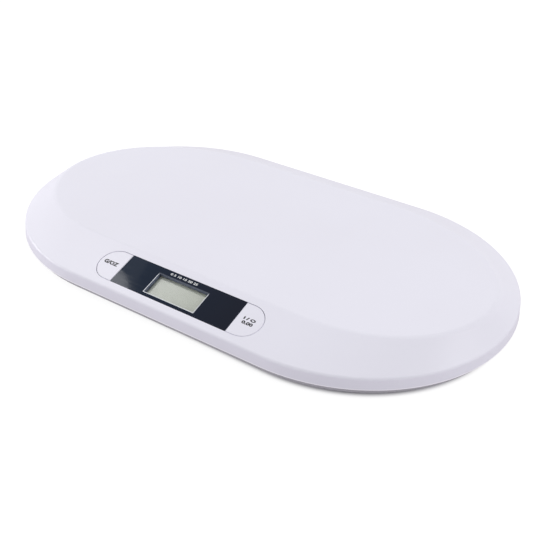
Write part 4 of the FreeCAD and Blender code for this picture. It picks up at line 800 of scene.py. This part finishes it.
# ---------------------------------------------------------------- wires
# Four load cell cables and two battery leads in soft red and grey insulation, laid
# along the floor of the base.
cable_red = plastic("cable_red", colour=(0.36, 0.020, 0.018), shade=(0.30, 0.014, 0.014),
                    gloss=(0.42, 0.55), grain=1200, depth=0.00004, tone_size=50)
cable_grey = plastic("cable_grey", colour=(0.20, 0.20, 0.21), shade=(0.16, 0.16, 0.17),
                     gloss=(0.42, 0.55), grain=1200, depth=0.00004, tone_size=50)
dress(["battery_leads"], cable_red)
dress([f"sensor_wire_{corner}" for corner in CORNERS], cable_grey)

# ---------------------------------------------------------------- battery contacts
# Plates and bent leaves of nickel-plated spring strip, cut and folded in a press. They
# stand in slots at both ends of the bay and join the cells in a row.
nickel = metal("nickel_plate", colour=(0.68, 0.66, 0.60), shade=(0.58, 0.56, 0.51),
               roughness=(0.18, 0.32), streak=(300, 300, 2500), depth=0.00002)
dress(["contact_plates", "contact_springs"], nickel)

# ---------------------------------------------------------------- cells
# Four AAA cells in plain shrink sleeves: dark with a copper band at the raised end. The
# steel can shows at both ends, where the sleeve is turned over.
SLEEVE_DARK = (0.018, 0.020, 0.026)
SLEEVE_BAND = (0.42, 0.17, 0.055)
CAN_STEEL = (0.62, 0.62, 0.61)
CELL_COUNT = 4
CELL_LENGTH = 0.0445
SLEEVE_FROM = 0.006
BAND_FROM = 0.70
SLEEVE_TO = 0.981
SCUFF_COUNT = 260
SLEEVE_GLOSS = (0.2, 0.42)
for number in range(CELL_COUNT):
    name = f"battery_{number + 1}"
    low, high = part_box(name)
    raised_end = 1 if number % 2 == 0 else -1
    flat_end = low[1] if raised_end > 0 else high[1]
    sleeve = bpy.data.materials.new(f"cell_sleeve_{number + 1}")
    sleeve.use_nodes = True
    tree = sleeve.node_tree
    shader = tree.nodes["Principled BSDF"]
    place = tree.nodes.new("ShaderNodeTexCoord")
    axis = tree.nodes.new("ShaderNodeSeparateXYZ")
    along = tree.nodes.new("ShaderNodeMapRange")
    along.inputs["From Min"].default_value = flat_end
    along.inputs["From Max"].default_value = flat_end + raised_end * CELL_LENGTH
    bands = tree.nodes.new("ShaderNodeValToRGB")
    bands.color_ramp.interpolation = "CONSTANT"
    bands.color_ramp.elements[0].position = 0
    bands.color_ramp.elements[0].color = (*CAN_STEEL, 1)
    bands.color_ramp.elements[1].position = SLEEVE_FROM
    bands.color_ramp.elements[1].color = (*SLEEVE_DARK, 1)
    stop = bands.color_ramp.elements.new(BAND_FROM)
    stop.color = (*SLEEVE_BAND, 1)
    stop = bands.color_ramp.elements.new(SLEEVE_TO)
    stop.color = (*CAN_STEEL, 1)
    bare = tree.nodes.new("ShaderNodeValToRGB")
    bare.color_ramp.interpolation = "CONSTANT"
    bare.color_ramp.elements[0].position = 0
    bare.color_ramp.elements[0].color = (1, 1, 1, 1)
    bare.color_ramp.elements[1].position = SLEEVE_FROM
    bare.color_ramp.elements[1].color = (0, 0, 0, 1)
    stop = bare.color_ramp.elements.new(SLEEVE_TO)
    stop.color = (1, 1, 1, 1)
    scuffs = tree.nodes.new("ShaderNodeTexNoise")
    scuffs.inputs["Scale"].default_value = SCUFF_COUNT
    worn = tree.nodes.new("ShaderNodeMapRange")
    worn.inputs["To Min"].default_value = SLEEVE_GLOSS[0]
    worn.inputs["To Max"].default_value = SLEEVE_GLOSS[1]
    tree.links.new(place.outputs["Object"], axis.inputs["Vector"])
    tree.links.new(axis.outputs["Y"], along.inputs["Value"])
    tree.links.new(along.outputs["Result"], bands.inputs["Fac"])
    tree.links.new(along.outputs["Result"], bare.inputs["Fac"])
    tree.links.new(bands.outputs["Color"], shader.inputs["Base Color"])
    tree.links.new(bare.outputs["Color"], shader.inputs["Metallic"])
    tree.links.new(place.outputs["Object"], scuffs.inputs["Vector"])
    tree.links.new(scuffs.outputs["Fac"], worn.inputs["Value"])
    tree.links.new(worn.outputs["Result"], shader.inputs["Roughness"])
    dress([name], sleeve)

# ---------------------------------------------------------------- base shell
# The tray that closes the case from below, in white plastic with a fine matt texture. Its colour is painted a
# mid grey, a painted shade for the dark seam under the rim.
# It stands a few millimetres inside the rim, and its wells let the feet through.
base_matt_painted_shade = plastic("base_matt_painted_shade", colour=(0.52, 0.51, 0.55), shade=(0.49, 0.48, 0.52), gloss=(0.5, 0.62),
                    grain=1800, depth=0.00008, tone_size=12)
dress(["base_shell"], base_matt_painted_shade)

# ---------------------------------------------------------------- battery door
# A flat door moulded in the same textured plastic, with a finger notch by its latch. Two
# hooks at the other end hang in slots of the base.
door_matt = plastic("door_matt", colour=(0.53, 0.52, 0.56), shade=(0.50, 0.49, 0.53), gloss=(0.5, 0.62),
                    grain=1800, depth=0.00008, tone_size=12)
dress(["battery_door"], door_matt)

# ---------------------------------------------------------------- feet
# Four round feet moulded in smooth white plastic. They come through the wells of the base
# and push on the tongues of the load cells.
foot_white = plastic("foot_white", colour=(0.66, 0.66, 0.66), shade=(0.62, 0.62, 0.62),
                     gloss=(0.36, 0.46), grain=1500, depth=0.00003, tone_size=30)
dress([f"foot_{corner}" for corner in CORNERS], foot_white)

# ---------------------------------------------------------------- rubber pads
# A dark grey rubber pad in the recess of each foot, with a rounded edge and two ring
# grooves in the face that grips the table.
FOOT_AT = (0.172, 0.092)
PAD_SIDES = 64
CREASE = math.radians(32)
PAD_RINGS = [(0.0020, 0.01400), (0.0008, 0.01400), (0.0003, 0.01385), (0.0001, 0.01355), (0, 0.01310),
             (0, 0.01050), (0.0003, 0.01035), (0.0007, 0.01020), (0.0007, 0.00960), (0.0003, 0.00945),
             (0, 0.00930), (0, 0.00630), (0.0003, 0.00615), (0.0007, 0.00600), (0.0007, 0.00540),
             (0.0003, 0.00525), (0, 0.00510), (0, 0.00200)]


def turned(name, spot, rings, sides):
    """A round piece built up from its first ring, each next one extruded and scaled."""
    bpy.ops.object.select_all(action="DESELECT")
    level, radius = rings[0]
    bpy.ops.mesh.primitive_circle_add(vertices=sides, radius=radius, fill_type="NGON",
                                      location=(spot[0], spot[1], level))
    piece = bpy.context.object
    piece.name = name
    bpy.ops.object.mode_set(mode="EDIT")
    for next_level, next_radius in rings[1:]:
        bpy.ops.mesh.extrude_region_move(TRANSFORM_OT_translate={"value": (0, 0, next_level - level)})
        bpy.ops.transform.resize(value=(next_radius / radius, next_radius / radius, 1))
        level, radius = next_level, next_radius
    bpy.ops.mesh.select_all(action="SELECT")
    bpy.ops.mesh.normals_make_consistent(inside=False)
    bpy.ops.object.mode_set(mode="OBJECT")
    bpy.ops.object.transform_apply(location=True, rotation=True, scale=True)
    bpy.ops.object.shade_smooth_by_angle(angle=CREASE)
    return piece


pad_rubber = plastic("pad_rubber", colour=(0.030, 0.030, 0.033), shade=(0.020, 0.020, 0.023),
                     gloss=(0.7, 0.85), grain=2200, depth=0.00010, tone_size=60, specular=0.3)
for corner in CORNERS:
    x = FOOT_AT[0] if corner.endswith("right") else -FOOT_AT[0]
    y = FOOT_AT[1] if corner.startswith("back") else -FOOT_AT[1]
    pad = turned(f"rubber_pad_{corner}", (x, y), PAD_RINGS, PAD_SIDES)
    pad.data.materials.append(pad_rubber)
    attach(pad, "case")
    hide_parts(f"foot_pad_{corner}")

# ---------------------------------------------------------------- case screws
# Eight zinc-plated self-tapping screws with pan heads and cross recesses, driven up from
# below through the base into the posts of the cover.
POSTS_AT = ((0.225, 0.062), (0.118, 0.135))
SCREW_SIDES = 32
SCREW_TIP = (0.0220, 0.0003)
THREAD_TOP = 0.0205
THREAD_FOOT = 0.0078
PITCH = 0.00105
CREST_RADIUS = 0.00145
ROOT_RADIUS = 0.00112
NECK_TOP = 0.0074
HEAD_TOP = 0.0070
HEAD_FACE = 0.0048
HEAD_RINGS = [(HEAD_TOP, 0.0030), (0.0060, 0.0030), (0.0054, 0.00282), (0.0050, 0.0024), (0.00483, 0.0018),
              (HEAD_FACE, 0.0010)]
RECESS_LENGTH = 0.0036
RECESS_WIDTH = 0.00075
RECESS_DEPTH = 0.0012
RECESS_PAST = 0.0004
HEAD_TURN = 20
screw_spots = [(x * far, y * wide) for far, wide in POSTS_AT for x in (-1, 1) for y in (-1, 1)]
screw_rings = [SCREW_TIP]
for turn in range(int((THREAD_TOP - THREAD_FOOT) / PITCH)):
    crest = THREAD_TOP - turn * PITCH
    screw_rings += [(crest, CREST_RADIUS), (crest - PITCH / 2, ROOT_RADIUS)]
screw_rings += [(NECK_TOP, CREST_RADIUS), (HEAD_TOP, CREST_RADIUS), *HEAD_RINGS]
screw_heads = []
for number, spot in enumerate(screw_spots):
    screw = turned(f"case_screw_{number + 1}", spot, screw_rings, SCREW_SIDES)
    for turn in (0, 90):
        bpy.ops.object.select_all(action="DESELECT")
        bpy.ops.mesh.primitive_cube_add(size=1, location=(*spot, HEAD_FACE + (RECESS_DEPTH - RECESS_PAST) / 2))
        blade = bpy.context.object
        blade.scale = (RECESS_LENGTH, RECESS_WIDTH, RECESS_DEPTH + RECESS_PAST)
        blade.rotation_euler = (0, 0, math.radians(turn + HEAD_TURN * number))
        bpy.ops.object.transform_apply(location=True, rotation=True, scale=True)
        bpy.ops.object.select_all(action="DESELECT")
        bpy.context.view_layer.objects.active = screw
        screw.select_set(True)
        carve = screw.modifiers.new("recess", "BOOLEAN")
        carve.operation = "DIFFERENCE"
        carve.object = blade
        carve.solver = "EXACT"
        bpy.ops.object.modifier_apply(modifier="recess")
        bpy.data.objects.remove(blade, do_unlink=True)
    screw_heads.append(screw)
bpy.ops.object.select_all(action="DESELECT")
for screw in screw_heads:
    screw.select_set(True)
bpy.context.view_layer.objects.active = screw_heads[0]
bpy.ops.object.join()
screw_set = bpy.context.object
screw_set.name = "cross_head_screws"
screw_set.data.materials.clear()
screw_set.data.materials.append(zinc)
bpy.ops.object.shade_smooth_by_angle(angle=CREASE)
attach(screw_set, "case")
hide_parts("case_screws")
